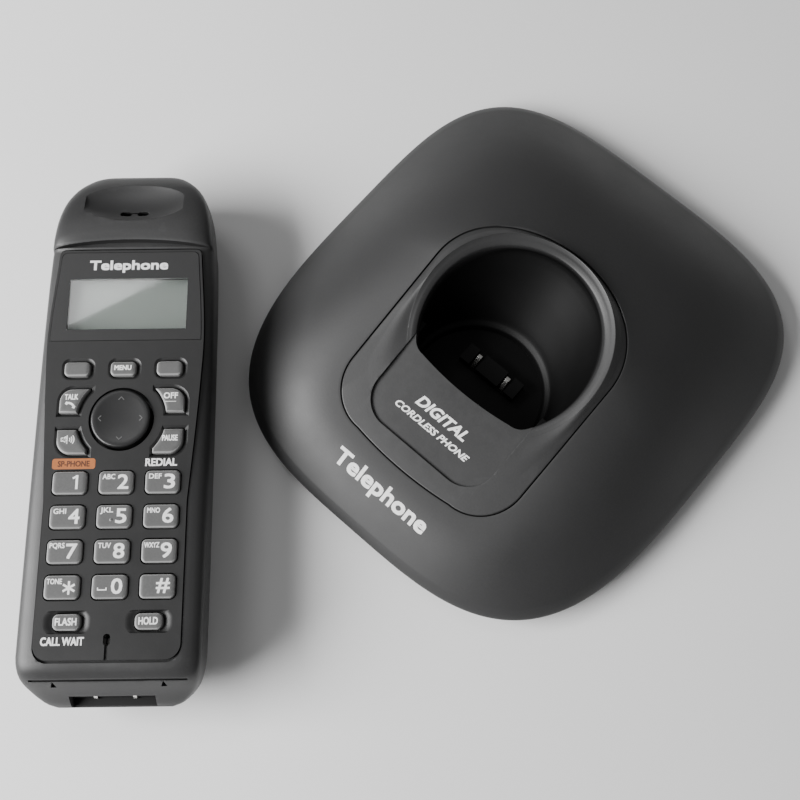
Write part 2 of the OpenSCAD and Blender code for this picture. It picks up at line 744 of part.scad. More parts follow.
module handset_front_shell() color(CHARCOAL) at_handset() {
    difference() {
        union() {
            intersection() {
                difference() {
                    handset_skin(0);
                    handset_skin(shell_t);
                }
                span(80, [-70, 110], [split_z, 40]);
            }
            intersection() {
                handset_skin(0.6);
                union() {
                    span(80, [-49, 68.5], [DECK_LOW, DECK_TOP]);
                    ear_dish(1.5);
                    boss_group(UPPER_SCREWS, 3, [split_z, 40]);
                    boss_group(LOWER_SCREWS, 3, [split_z, DECK_TOP]);
                }
            }
        }
        translate([0, 0, DECK_TOP])
            linear_extrude(10)
                panel_outline(-0.12);
        translate([0, 0, DECK_LOW - 1])
            linear_extrude(10)
                key_openings(key_gap);
        span(GLASS_W + 1.4, [GLASS_Y[0] - 0.7, GLASS_Y[1] + 0.7], [DECK_LOW - 1, 40]);
        ear_dish(0);
        translate([0, SLOT_Y, 15])
            linear_extrude(20)
                round_rect(8.2, 1.9, 0.9);
        boss_group(concat(UPPER_SCREWS, LOWER_SCREWS), 1.2, [0, split_z + 4.5]);
        nose_window(0);
    }
}

module handset_rear_shell() color(CHARCOAL) at_handset() {
    under = COVER_T + COVER_GAP;
    difference() {
        union() {
            difference() {
                intersection() {
                    handset_skin(0);
                    span(80, [-70, 110], [-1, split_z]);
                }
                handset_skin(shell_t);
                span(2 * COVER_HALF_W + 0.5, [COVER_Y[0] - 0.2, COVER_Y[1] + 0.25], [-1, 6.8]);
            }
            intersection() {
                handset_skin(under);
                union() {
                    // Skin under the cover
                    difference() {
                        span(2 * COVER_HALF_W + 3, [COVER_Y[0] - 6, COVER_Y[1] + 2], [-1, 8.2]);
                        handset_skin(under + 1.3);
                    }
                    // Battery bay
                    span(2 * BAY_HALF_W + 2.4, [BAY_Y[0] - 1.2, BAY_Y[1] + 1.2], [0, BAY_TOP + 1.2]);
                    boss_group(UPPER_SCREWS, 3.3, [0, split_z]);
                    boss_group(LOWER_SCREWS, 3.3, [0, split_z]);
                }
            }
        }
        span(2 * BAY_HALF_W, BAY_Y, [-1, BAY_TOP]);
        // The cover's path beyond its lower end
        difference() {
            span(2 * COVER_HALF_W + 0.5, [COVER_Y[0] - 12, COVER_Y[0] + 0.1], [-1, 6.8]);
            section_bar(under, [-70, 20]);
        }
        for (k = [-2:2])
            translate([0, SPEAKER_Y + 2.8 * k, -1])
                linear_extrude(6)
                    round_rect(13 - abs(k) * 2, 1.3, 0.6);
        boss_group(concat(UPPER_SCREWS, LOWER_SCREWS), 1.35, [0, 20]);
        boss_group(concat(UPPER_SCREWS, LOWER_SCREWS), 2.5, [-1, SCREW_LOW + 1.4]);
        nose_window(0);
    }
}

module face_panel() color(CHARCOAL) at_handset() {
    difference() {
        translate([0, 0, DECK_TOP])
            linear_extrude(PANEL_TOP - DECK_TOP)
                panel_outline(0);
        translate([0, 0, DECK_TOP - 1])
            linear_extrude(5)
                key_openings(key_gap);
        span(GLASS_W + 0.6, [GLASS_Y[0] - 0.3, GLASS_Y[1] + 0.3], [DECK_TOP - 1, 40]);
        translate([0, 0, PANEL_TOP - 0.8])
            linear_extrude(5)
                intersection() {
                    panel_outline(0.65);
                    translate([-30, WINDOW_Y[0] - 0.1])
                        square([60, 60]);
                }
        // Groove from the microphone hole to the lower edge
        span(0.9, [PANEL_Y[0] - 1, MIC_Y - 1], [PANEL_TOP - 0.5, 40]);
    }
}

module display_window() color("#20242699") at_handset() {
    translate([0, 0, PANEL_TOP - 0.8])
        linear_extrude(0.95)
            intersection() {
                panel_outline(0.75);
                translate([-30, WINDOW_Y[0]])
                    square([60, 60]);
            }
}

module display_module() color("#9aa094") at_handset() {
    span(38, [GLASS_Y[0] - 3.4, GLASS_Y[1] + 3.4], [BOARD_TOP + 1.1, DECK_LOW - 0.1]);
}

module display_backlight() color("#e8e6d0") at_handset() {
    span(38, [GLASS_Y[0] - 3.4, GLASS_Y[1] + 3.4], [BOARD_TOP, BOARD_TOP + 1.1]);
}

module keypad_mat() color("#5b5d60") at_handset() {
    translate([0, 0, BOARD_TOP + 0.2])
        linear_extrude(MAT_TOP - BOARD_TOP - 0.2)
            translate([0, -1.8])
                round_rect(37.6, 75.6, 3);
    // Contact pills under the keys
    for (i = [0:11])
        translate(concat(dial_spot(i), BOARD_TOP))
            cylinder(r = 1.6, h = 0.3);
    for (i = [-1:1])
        translate([12.7 * i, SOFT_Y, BOARD_TOP])
            cylinder(r = 1.2, h = 0.3);
}

// A key: its visible body, and the flange that holds it under the deck
module key_body(top) {
    translate([0, 0, KEY_LOW])
        linear_extrude(top - KEY_LOW)
            children(0);
    translate([0, 0, KEY_LOW])
        linear_extrude(FLANGE_T)
            children(1);
}

module dial_key(i) color(KEY_GREY) at_handset() {
    key_body(KEY_TOP) {
        dial_outline(i, 0);
        dial_outline(i, 0.8);
    }
}

module soft_key(i) color(KEY_GREY) at_handset() {
    key_body(KEY_TOP - 0.1) {
        soft_outline(i, 0);
        soft_outline(i, 0.8);
    }
}

module corner_key(sx, sy) color(KEY_GREY) at_handset() {
    key_body(KEY_TOP) {
        corner_key_outline(sx, sy, 0);
        corner_key_outline(sx, sy, 0.7);
    }
}

module low_key(s) color(KEY_GREY) at_handset() {
    key_body(KEY_TOP - 0.2) {
        low_key_outline(s, 0);
        low_key_outline(s, 0.8);
    }
}

module navigator_key() color(BLACK) at_handset() {
    translate([NAV_X, NAV_Y, 0])
        difference() {
            union() {
                translate([0, 0, KEY_LOW])
                    cylinder(r = nav_r, h = KEY_TOP + 0.3 - KEY_LOW);
                translate([0, 0, KEY_LOW])
                    cylinder(r = nav_r + 1.2, h = 0.4);
            }
            // Shallow dish for the thumb
            translate([0, 0, KEY_TOP + 0.3 + 39.5])
                sphere(r = 40, $fn = 160);
        }
}

module navigator_pad() color("#5b5d60") at_handset() {
    translate([NAV_X, NAV_Y, MAT_TOP + 0.2])
        cylinder(r = 4.2, h = KEY_LOW - MAT_TOP - 0.4);
}

module handset_circuit_board() color(BOARD_GREEN) at_handset() {
    low = BOARD_TOP - 1.6;
    difference() {
        union() {
            translate([0, 9.8, low])
                linear_extrude(1.6)
                    round_rect(39, 113, 3);
            span(14, [28, 40], [low - 2, low + eps], -6);
            span(8, [-10, -3], [low - 1.6, low + eps], 9);
            for (k = [0:5])
                span(2, [50, 54], [low - 1.3, low + eps], -14 + 5.5 * k);
        }
        boss_group(LOWER_SCREWS, 3.4, [low - 1, BOARD_TOP + 1]);
    }
}

module receiver() color(BLACK) at_handset() {
    translate([0, RECEIVER_Y, 16.4])
        cylinder(r = 7, h = 4.4);
    translate([0, RECEIVER_Y, 20.7])
        cylinder(r = 5.2, h = 1);
}

module microphone() color(METAL) at_handset() {
    translate([0, -43.2, BOARD_TOP])
        cylinder(r = 2.9, h = 2.2);
}

module loudspeaker() color(BLACK) at_handset() {
    translate([0, SPEAKER_Y, 3.5])
        cylinder(r = 9.5, h = 3);
    translate([0, SPEAKER_Y, 6.4])
        cylinder(r = 5, h = 3);
}

module battery_cover() color(CHARCOAL) at_handset() {
    intersection() {
        difference() {
            section_bar(0, COVER_Y);
            section_bar(COVER_T, [-80, 80]);
        }
        span(2 * COVER_HALF_W, COVER_Y, [-1, 6.6]);
    }
}

module battery_cells() color("#2f7d5b") at_handset() {
    can = cell_len - 0.9;
    for (s = [-1, 1])
        translate([s * 5.6, (BAY_Y[0] + BAY_Y[1]) / 2, 8])
            rotate([90 * s, 0, 0])
                translate([0, 0, -can / 2]) {
                    cylinder(r = cell_r, h = can);
                    translate([0, 0, can - eps])
                        cylinder(r = 1.9, h = 0.8);
                }
}

// A spring plate and a button plate at each end of the cells
module battery_terminals() color(METAL) at_handset() {
    for (s = [-1, 1], e = [-1, 1]) {
        plate_y = e < 0 ? BAY_Y[0] + 0.1 : BAY_Y[1] - 0.5;
        span(8.4, [plate_y, plate_y + 0.4], [3.6, 12], s * 5.6);
        is_spring = s * e > 0;
        reach = is_spring ? 2.3 : 1.6;
        translate([s * 5.6, plate_y + 0.2, 8])
            rotate([-90 * e, 0, 0])
                translate([0, 0, -reach])
                    cylinder(r1 = is_spring ? 1.6 : 1.5, r2 = is_spring ? 3.2 : 1.5, h = reach);
    }
}

// Block that fills the window in the lower end, with a sloped face set back from the shells and a foot below it
module terminal_holder() color(BLACK) at_handset() {
    low = NOSE_Z[0] + 0.2;
    foot_y = -57.3;
    rear_y = -50.8;
    translate([-NOSE_HALF_W + 0.2, 0, 0])
        rotate([90, 0, 90])
            linear_extrude(2 * NOSE_HALF_W - 0.4)
                polygon(concat([[rear_y, low], [foot_y, low], [foot_y, NOSE_FACE[0][1]]], NOSE_FACE,
                    [[rear_y, NOSE_Z[1] - 0.2]]));
}

module charge_terminals() color(METAL) at_handset() {
    w = 1.1;
    t = 0.45;
    low = NOSE_FACE[0] + [0, 0.1];
    knee = NOSE_FACE[1];
    high = mix(NOSE_FACE[1], NOSE_FACE[2], 0.93);
    for (s = [-1, 1])
        translate([s * 5.2 - w / 2, 0, 0])
            rotate([90, 0, 90])
                linear_extrude(w)
                    polygon([low, knee, high, high - [t, 0], knee - [t, 0], low - [t, 0]]);
}

module handset_antenna() color(METAL) at_handset() {
    span(24, [63.6, 65.4], [BOARD_TOP + 1.8, BOARD_TOP + 2.2]);
    span(0.8, [63.6, 65.4], [BOARD_TOP, BOARD_TOP + 1.9], -11.6);
    span(0.8, [63.6, 65.4], [BOARD_TOP, BOARD_TOP + 1.9], -7);
}

module handset_screws() color(METAL) at_handset() {
    for (p = concat(UPPER_SCREWS, LOWER_SCREWS))
        translate([p[0], p[1], SCREW_LOW])
            screw(2.2, 1.4, 1.15, 11);
}

// ---------------------------------------------------------------- one line for each node

base_top_cabinet();
base_bottom_cabinet();
cradle_insert();
charge_contact_left();
charge_contact_right();
base_circuit_board();
base_antenna();
line_jack();
power_jack();
locator_key();
rubber_feet();
base_screws();
handset_front_shell();
handset_rear_shell();
face_panel();
display_window();
display_module();
display_backlight();
keypad_mat();
dial_key(0);  // key_1
dial_key(1);  // key_2
dial_key(2);  // key_3
dial_key(3);  // key_4
dial_key(4);  // key_5
dial_key(5);  // key_6
dial_key(6);  // key_7
dial_key(7);  // key_8
dial_key(8);  // key_9
dial_key(9);  // key_star
dial_key(10);  // key_0
dial_key(11);  // key_hash
soft_key(-1);  // soft_key_left
soft_key(0);  // menu_key
soft_key(1);  // soft_key_right
corner_key(-1, 1);  // talk_key
corner_key(1, 1);  // off_key
corner_key(-1, -1);  // speaker_key
corner_key(1, -1);  // pause_key
low_key(-1);  // flash_key
low_key(1);  // hold_key
navigator_key();
navigator_pad();
handset_circuit_board();
receiver();
microphone();
loudspeaker();
battery_cover();
battery_cells();
battery_terminals();
charge_terminals();
terminal_holder();
handset_antenna();
handset_screws();
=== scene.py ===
import json
import math

import bmesh
import bpy
import numpy as np
from mathutils import Matrix, Quaternion, Vector
from mathutils.bvhtree import BVHTree


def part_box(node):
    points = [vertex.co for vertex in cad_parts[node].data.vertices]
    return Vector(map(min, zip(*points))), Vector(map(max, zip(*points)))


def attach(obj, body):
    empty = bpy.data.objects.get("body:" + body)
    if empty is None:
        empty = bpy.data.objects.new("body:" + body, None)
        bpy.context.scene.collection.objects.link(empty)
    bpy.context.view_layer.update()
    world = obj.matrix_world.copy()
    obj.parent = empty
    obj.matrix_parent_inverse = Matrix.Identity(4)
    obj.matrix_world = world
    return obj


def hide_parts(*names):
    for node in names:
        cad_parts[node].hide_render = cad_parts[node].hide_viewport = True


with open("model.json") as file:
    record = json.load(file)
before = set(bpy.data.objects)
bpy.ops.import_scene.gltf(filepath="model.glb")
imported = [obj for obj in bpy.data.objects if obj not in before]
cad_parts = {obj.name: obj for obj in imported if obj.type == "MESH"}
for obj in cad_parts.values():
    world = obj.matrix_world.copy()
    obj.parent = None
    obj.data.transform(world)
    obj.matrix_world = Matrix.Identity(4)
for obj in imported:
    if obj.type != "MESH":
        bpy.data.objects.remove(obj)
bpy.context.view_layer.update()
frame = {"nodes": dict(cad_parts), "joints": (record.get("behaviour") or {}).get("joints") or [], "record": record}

# ---- places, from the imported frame

MM = 0.001


def node_middle(node):
    low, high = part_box(node)
    return (low + high) / 2


base_spot = node_middle("base_top_cabinet")
hand_spot = node_middle("key_2")
hand_across = next(j for j in frame["joints"] if j["name"] == "navigator_up_down")["axis"]
hand_turn = math.atan2(hand_across[1], hand_across[0])
# Both matrices take millimetres in the part's own frame to metres in the row frame
BASE = Matrix.Translation((base_spot.x, base_spot.y, 0)) @ Matrix.Scale(MM, 4)
HAND = (Matrix.Translation((hand_spot.x, hand_spot.y, 0)) @ Matrix.Rotation(hand_turn, 4, "Z")
        @ Matrix.Scale(MM, 4))

# ---- camera

CAMERA_SPOT = BASE @ Vector((40.2, -97.6, 300.5))
CAMERA_AIM = BASE @ Vector((-16.3, -32.55, 0))
LENS = 46.8


def linked(name, data):
    """A new object in the scene."""
    thing = bpy.data.objects.new(name, data)
    bpy.context.scene.collection.objects.link(thing)
    return thing


def aimed(data, spot, aim):
    """A camera or lamp at the spot, turned to the aim."""
    thing = linked(data.name, data)
    thing.location = spot
    thing.rotation_mode = "QUATERNION"
    thing.rotation_quaternion = (Vector(aim) - Vector(spot)).to_track_quat("-Z", "Y")
    return thing


def make_camera():
    data = bpy.data.cameras.new("camera")
    data.lens = LENS
    data.sensor_width = 36
    data.clip_start = 0.01
    bpy.context.scene.camera = aimed(data, CAMERA_SPOT, CAMERA_AIM)


make_camera()

# ---- materials


class Nodes:
    """A small helper that builds one material's node tree."""

    def __init__(self, name):
        self.name = name
        self.material = bpy.data.materials.new(name)
        self.material.use_nodes = True
        self.tree = self.material.node_tree
        self.shader = self.tree.nodes["Principled BSDF"]
        self.coords = self.tree.nodes.new("ShaderNodeTexCoord").outputs["Object"]

    def add(self, kind, inputs, **settings):
        node = self.tree.nodes.new(kind)
        for key, value in settings.items():
            setattr(node, key, value)
        for key, value in inputs.items():
            if isinstance(value, bpy.types.NodeSocket):
                self.tree.links.new(value, node.inputs[key])
            else:
                node.inputs[key].default_value = value
        return node

    def noise(self, scale, detail=2.0, rough=0.5, coords=None):
        return self.add("ShaderNodeTexNoise", {
            "Vector": coords or self.coords, "Scale": scale, "Detail": detail,
            "Roughness": rough}).outputs["Fac"]

    def ramp(self, value, low, high, to_low=0.0, to_high=1.0):
        return self.add("ShaderNodeMapRange", {
            "Value": value, "From Min": low, "From Max": high, "To Min": to_low,
            "To Max": to_high}).outputs["Result"]

    def blend(self, factor, first, second):
        return self.add("ShaderNodeMix", {0: factor, 6: first, 7: second}, data_type="RGBA").outputs[2]

    def bump(self, height, distance, strength, after=None):
        inputs = {"Height": height, "Distance": distance, "Strength": strength}
        if after:
            inputs["Normal"] = after
        return self.add("ShaderNodeBump", inputs).outputs["Normal"]

    def link(self, value, socket):
        self.tree.links.new(value, self.shader.inputs[socket])

    def set(self, **values):
        for key, value in values.items():
            self.shader.inputs[key.replace("_", " ")].default_value = value


def rgba(r, g, b):
    return (r, g, b, 1.0)


def shade(colour, k):
    return rgba(*(min(1.0, c * k) for c in colour))


GRAIN_SCALE = 2600
POD_Z, POD_SLOPE = 31.2, 0.27    # height and slope of the cradle's top face
POCKET_PAINTED_SHADE = (1.2, 4.5)    # depths below that face between which the cradle's colour is darkened to black: painted shade in the pocket


def moulded_plastic(name, colour, rough, grain=1.0, wear=0.5, spec=0.5, rim=0.0):
    """Spark-textured moulding: fine grain, mottling, worn edges, and a painted highlight: a paler rim where the
    surface turns down from facing up.
    """
    n = Nodes(name)
    base = n.blend(n.ramp(n.noise(55, 4, 0.6), 0.3, 0.7), shade(colour, 0.93), shade(colour, 1.06))
    base = n.blend(n.ramp(n.noise(GRAIN_SCALE * 0.7, 2, 0.6), 0.35, 0.75), base, shade(colour, 1.16))
    surface = n.add("ShaderNodeNewGeometry", {}).outputs
    # painted highlight: the colour is made paler where the surface tilts away from facing up, as if light caught
    # the rounded rim
    if rim:
        upward = n.add("ShaderNodeVectorMath", {0: surface["Normal"], 1: (0, 0, 1)},
                       operation="DOT_PRODUCT")
        base = n.blend(n.ramp(upward.outputs["Value"], 0.97, 0.75, 0, rim), base, shade(colour, 4.0))
    handled = n.ramp(n.noise(260, 3, 0.7), 0.4, 0.7)
    worn = n.add("ShaderNodeMath", {0: n.ramp(surface["Pointiness"], 0.515, 0.56, 0, wear), 1: handled},
                 operation="MULTIPLY")
    n.link(n.blend(worn.outputs[0], base, shade(colour, 1.9)), "Base Color")
    n.link(n.ramp(n.noise(38, 5, 0.65), 0.25, 0.75, rough - 0.05, rough + 0.06), "Roughness")
    fine = n.bump(n.noise(GRAIN_SCALE, 3, 0.55), 0.00003 * grain, 0.55)
    n.link(n.bump(n.noise(9, 2, 0.5), 0.00004, 0.2, after=fine), "Normal")
    n.set(IOR=1.5, Specular_IOR_Level=spec)
    return n


def cradle_plastic_with_painted_shade(name, colour, rough):
    """Moulded plastic darkened to black below the cradle's top face: painted shade in the pocket, with less sheen
    there too.
    """
    n = moulded_plastic(name, colour, rough, wear=0.3)
    down = n.add("ShaderNodeVectorMath", {0: n.coords, 1: (0, POD_SLOPE, -1)}, operation="DOT_PRODUCT")
    face = POD_SLOPE * base_spot.y - POD_Z * MM
    start, end = (face + depth * MM for depth in POCKET_PAINTED_SHADE)
    painted_shade = n.add("ShaderNodeMapRange", {"Value": down.outputs["Value"], "From Min": start, "From Max": end},
                 interpolation_type="SMOOTHSTEP").outputs["Result"]
    casing = n.shader.inputs["Base Color"].links[0].from_socket
    # painted shade: the colour turns almost black, and the sheen drops, deeper in the pocket
    n.link(n.blend(painted_shade, casing, shade(colour, 0.12)), "Base Color")
    n.link(n.ramp(painted_shade, 0, 1, 0.5, 0.2), "Specular IOR Level")
    return n


def mottled(n, scale, detail, low, high, colour, dark, bright):
    """A colour that wanders between two shades of itself."""
    n.link(n.blend(n.ramp(n.noise(scale, detail), low, high), shade(colour, dark), shade(colour, bright)),
           "Base Color")


def print_ink(name, colour):
    """Screen-printed ink: nearly even, with a faint mesh and thin spots."""
    n = Nodes(name)
    mottled(n, 900, 2, 0.35, 0.7, colour, 0.9, 1.03)
    n.link(n.ramp(n.noise(400, 2), 0.3, 0.7, 0.44, 0.56), "Roughness")
    n.link(n.bump(n.noise(3000, 2), 0.00001, 0.4), "Normal")
    return n.material


def plated_metal(name, colour, rough, scratches=1.0):
    n = Nodes(name)
    stretch = n.add("ShaderNodeMapping", {"Vector": n.coords, "Scale": (1.0, 14.0, 1.0)}).outputs["Vector"]
    lines = n.noise(900, 4, 0.7, coords=stretch)
    mottled(n, 120, 4, 0.3, 0.7, colour, 0.82, 1.05)
    n.link(n.ramp(lines, 0.3, 0.7, rough * 0.7, rough * 1.5), "Roughness")
    n.link(n.bump(lines, 0.000008 * scratches, 0.5), "Normal")
    n.set(Metallic=1.0)
    return n


def soft_rubber(name, colour):
    n = Nodes(name)
    mottled(n, 180, 4, 0.3, 0.7, colour, 0.85, 1.15)
    n.link(n.ramp(n.noise(60, 3), 0.3, 0.7, 0.68, 0.85), "Roughness")
    n.link(n.bump(n.noise(1800, 4, 0.6), 0.00004, 0.6), "Normal")
    n.set(Specular_IOR_Level=0.3)
    return n


def circuit_laminate(name):
    """Green solder mask with darker bare lanes and pale pads."""
    n = Nodes(name)
    brick = n.add("ShaderNodeTexBrick", {
        "Vector": n.coords, "Color1": rgba(0.02, 0.15, 0.06), "Color2": rgba(0.015, 0.11, 0.05),
        "Mortar": rgba(0.05, 0.26, 0.12), "Scale": 190.0, "Mortar Size": 0.012})
    n.link(n.blend(n.ramp(n.noise(300, 3), 0.4, 0.7, 0, 0.4), brick.outputs["Color"],
                   rgba(0.01, 0.08, 0.035)), "Base Color")
    n.link(n.ramp(n.noise(90, 3), 0.3, 0.7, 0.32, 0.48), "Roughness")
    n.link(n.bump(brick.outputs["Fac"], 0.00002, 0.6), "Normal")
    return n


def clear_window(name):
    n = Nodes(name)
    n.set(Base_Color=rgba(0.9, 0.92, 0.93), Transmission_Weight=1.0, IOR=1.49)
    n.link(n.ramp(n.noise(30, 4, 0.6), 0.35, 0.75, 0.015, 0.06), "Roughness")
    n.link(n.bump(n.noise(14, 2), 0.00002, 0.15), "Normal")
    return n


def liquid_crystal(name):
    """Grey-green reflective display with a fine dot grid."""
    n = Nodes(name)
    grid = n.add("ShaderNodeTexBrick", {
        "Vector": n.coords, "Color1": rgba(0.46, 0.49, 0.44), "Color2": rgba(0.44, 0.475, 0.425),
        "Mortar": rgba(0.41, 0.445, 0.40), "Scale": 1400.0, "Mortar Size": 0.02}, offset=0.0)
    n.link(n.blend(n.ramp(n.noise(22, 2), 0.3, 0.7, 0, 0.5), grid.outputs["Color"],
                   rgba(0.51, 0.545, 0.49)), "Base Color")
    n.link(n.ramp(n.noise(50, 3), 0.3, 0.7, 0.28, 0.4), "Roughness")
    return n


CHARCOAL = (0.025, 0.025, 0.0254)
# One material for each slot of the CAD parts
MATERIALS = {n.name: n.material for n in (
    moulded_plastic("base_casing", CHARCOAL, 0.5, wear=0.25),
    moulded_plastic("under_casing", (0.02, 0.02, 0.02), 0.55, wear=0.3),
    # the cradle's pocket gets painted shade
    cradle_plastic_with_painted_shade("cradle_casing", CHARCOAL, 0.46),
    moulded_plastic("handset_casing", CHARCOAL, 0.44, wear=0.35),
    moulded_plastic("panel_plastic", (0.0095, 0.0095, 0.0097), 0.42, grain=0.7, wear=0.3),
    # the keys' rims get a painted highlight
    moulded_plastic("key_plastic", (0.095, 0.095, 0.0945), 0.4, grain=0.5, wear=0.0, rim=0.9),
    moulded_plastic("navigator_plastic", (0.014, 0.014, 0.0144), 0.32, grain=0.4),
    moulded_plastic("key_marks", (0.09, 0.09, 0.09), 0.35, grain=0.3),
    moulded_plastic("black_plastic", (0.005, 0.005, 0.005), 0.5, wear=0.2, spec=0.25),
    clear_window("window_plastic"),
    liquid_crystal("display_glass"),
    moulded_plastic("light_guide", (0.75, 0.75, 0.68), 0.3, grain=0.3, wear=0.0),
    soft_rubber("mat_rubber", (0.09, 0.09, 0.1)),
    circuit_laminate("circuit_board"),
    plated_metal("contact_metal", (0.83, 0.82, 0.79), 0.2),
    plated_metal("screw_steel", (0.6, 0.6, 0.6), 0.3, 2.0),
    soft_rubber("foot_rubber", (0.018, 0.018, 0.018)),
    moulded_plastic("cell_wrap", (0.03, 0.25, 0.14), 0.3, grain=0.4, wear=0.0))}
WHITE_INK = print_ink("white_ink", (0.95, 0.95, 0.94))
PALE_INK = print_ink("pale_ink", (0.62, 0.62, 0.61))
ORANGE_INK = print_ink("orange_ink", (0.42, 0.13, 0.03))
DARK_INK = print_ink("dark_ink", (0.09, 0.025, 0.008))
BORDER_PRINT = moulded_plastic("border_print", (0.015, 0.015, 0.0153), 0.42, grain=0.5, wear=0.1).material
SLOT_OF = {s["node"]: s["material_slot"] for s in frame["record"]["subparts"]}
BODY_OF = {n: b for b, ns in frame["record"]["behaviour"]["bodies"].items() for n in ns}

# ---- mesh tools


def new_object(name, points, faces, matrix):
    mesh = bpy.data.meshes.new(name)
    mesh.from_pydata([tuple(p) for p in points], [], [tuple(f) for f in faces])
    mesh.transform(matrix)
    mesh.validate()
    return linked(name, mesh)


def flat_ring(outline, z):
    return np.c_[outline, np.full(len(outline), float(z))]


def loft(name, rings, matrix=HAND, loop=False):
    """Closed solid through rings of points: capped at both ends, or joined into a frame."""
    n, m = len(rings[0]), len(rings)
    points = np.concatenate([np.asarray(r, float) for r in rings])
    faces = []
    for i in range(m if loop else m - 1):
        k = (i + 1) % m
        for j in range(n):
            q = (j + 1) % n
            faces.append((i * n + j, i * n + q, k * n + q, k * n + j))
    if not loop:
        faces.append(tuple(reversed(range(n))))
        faces.append(tuple((m - 1) * n + j for j in range(n)))
    return new_object(name, points, faces, matrix)


def prism(name, outline, low, high, matrix=HAND):
    """Straight solid on a flat outline."""
    return loft(name, [flat_ring(outline, low), flat_ring(outline, high)], matrix)


def block(name, x, y, z, matrix=HAND):
    """Box between two corners; x may be half the width of a box on the middle line."""
    west, east = x if isinstance(x, tuple) else (-x, x)
    return prism(name, [(west, y[0]), (east, y[0]), (east, y[1]), (west, y[1])], *z, matrix)


def bake_modifiers(piece):
    """Applies a piece's modifiers to its mesh."""
    graph = bpy.context.evaluated_depsgraph_get()
    graph.update()
    mesh = bpy.data.meshes.new_from_object(piece.evaluated_get(graph))
    old = piece.data
    piece.modifiers.clear()
    piece.data = mesh
    bpy.data.meshes.remove(old)


def combine(piece, others, operation, crossing=False):
    """Boolean of a piece with others, which are used up; crossing when the piece may cross itself."""
    for other in others:
        modifier = piece.modifiers.new("combine", "BOOLEAN")
        modifier.operation = operation
        modifier.solver = "EXACT"
        modifier.use_self = crossing
        modifier.object = other
    bake_modifiers(piece)
    for other in others:
        bpy.data.objects.remove(other)
    return piece


def cut(piece, *others):
    return combine(piece, others, "DIFFERENCE")


def join(piece, *others):
    return combine(piece, others, "UNION")


def keep(piece, *others):
    return combine(piece, others, "INTERSECT")


WELD = 0.004    # millimetres


def weld(piece):
    """Merges points that lie almost on each other."""
    bm = bmesh.new()
    bm.from_mesh(piece.data)
    bmesh.ops.remove_doubles(bm, verts=bm.verts, dist=WELD * MM)
    bmesh.ops.dissolve_degenerate(bm, edges=bm.edges, dist=WELD * MM)
    bm.to_mesh(piece.data)
    bm.free()


def soften(piece, width=0.15, angle=32, segments=2):
    """Rounds the sharp edges a little and shades the rest smooth."""
    if width:
        modifier = piece.modifiers.new("bevel", "BEVEL")
        modifier.width = width * MM
        modifier.segments = segments
        modifier.limit_method = "ANGLE"
        modifier.angle_limit = math.radians(angle)
        modifier.miter_outer = "MITER_ARC"
        modifier.use_clamp_overlap = True
        bake_modifiers(piece)
    piece.data.shade_smooth()
    piece.data.set_sharp_from_angle(angle=math.radians(angle + 8))
    weighted = piece.modifiers.new("weighted", "WEIGHTED_NORMAL")
    weighted.keep_sharp = True
    weighted.weight = 60
    bake_modifiers(piece)
    return piece


done = set()    # CAD nodes that have their finished piece
body_and_slot = {}    # by the name of a finished piece


def dress(piece, node=None, on=None, material=None):
    """Gives a piece its material, slot and body, after the CAD node it stands for or what it lies on."""
    body, slot = body_and_slot[on.name] if on else (BODY_OF[node], SLOT_OF[node])
    body_and_slot[piece.name] = body, slot
    piece.data.materials.clear()
    piece.data.materials.append(material or MATERIALS[slot])
    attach(piece, body)
    if node:
        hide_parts(node)
        done.add(node)
    return piece


def refined(node):
    """The CAD node's own shape with its flat faces merged and its edges rounded."""
    mesh = frame["nodes"][node].data.copy()
    bm = bmesh.new()
    bm.from_mesh(mesh)
    bmesh.ops.remove_doubles(bm, verts=bm.verts, dist=2e-6)
    bmesh.ops.dissolve_limit(bm, angle_limit=math.radians(1), verts=bm.verts, edges=bm.edges)
    bm.to_mesh(mesh)
    bm.free()
    return dress(soften(linked(node + "_finished", mesh), 0.12), node)


# ---- outlines of the base

SIDE_N, BACK_N, CORNER_N, FRONT_N = 36, 144, 22, 30
POD_HALF_W, POD_FRONT, POD_BACK, POD_CORNER = 30.7, 50.3, 24.5, 14
POD_SIDE_FRONT = POD_FRONT - POD_CORNER
FRONT_BOW = 1.2
RIM_HALF_W, RIM_REACH, RIM_MID_Y = 66.7, 71.8, 7.5
RIM_POWER_FRONT, RIM_POWER_BACK = 3.4, 3.7
RIM_Z, SEAM_Z, RIM_BAND, WALL = 8.6, 5.4, 2.4, 2.2
# How far in, and how high, the band round the edge runs from the seam up to the dome
RIM_PROFILE = [(0, 5.4), (0.05, 5.9), (0.35, 6.5), (1.3, 7.55), (2.15, 8.4)]
SCREW_SPOTS = [(48, 32), (-48, 32), (48, -34), (-48, -34)]
BACK_FLATTEN, DOME_CROWN = 0.0079, 0.14
HOOD_H, LEDGE_Z, FLOOR_Z, APRON_DEPTH = 2, 9, 6, 0.7


def mix(a, b, t):
    return a + (b - a) * t


def arc(centre, r, start, end, steps, endpoint=False):
    a = np.radians(np.linspace(start, end, steps, endpoint=endpoint))
    return np.c_[centre[0] + r * np.cos(a), centre[1] + r * np.sin(a)]


def line(a, b, steps):
    t = np.linspace(0, 1, steps, endpoint=False)[:, None]
    return mix(np.asarray(a, float), np.asarray(b, float), t)


def bowed_front(x, y):
    t = np.linspace(0, 1, FRONT_N, endpoint=False)
    return np.c_[mix(-x, x, t), y - FRONT_BOW * 4 * t * (1 - t)]


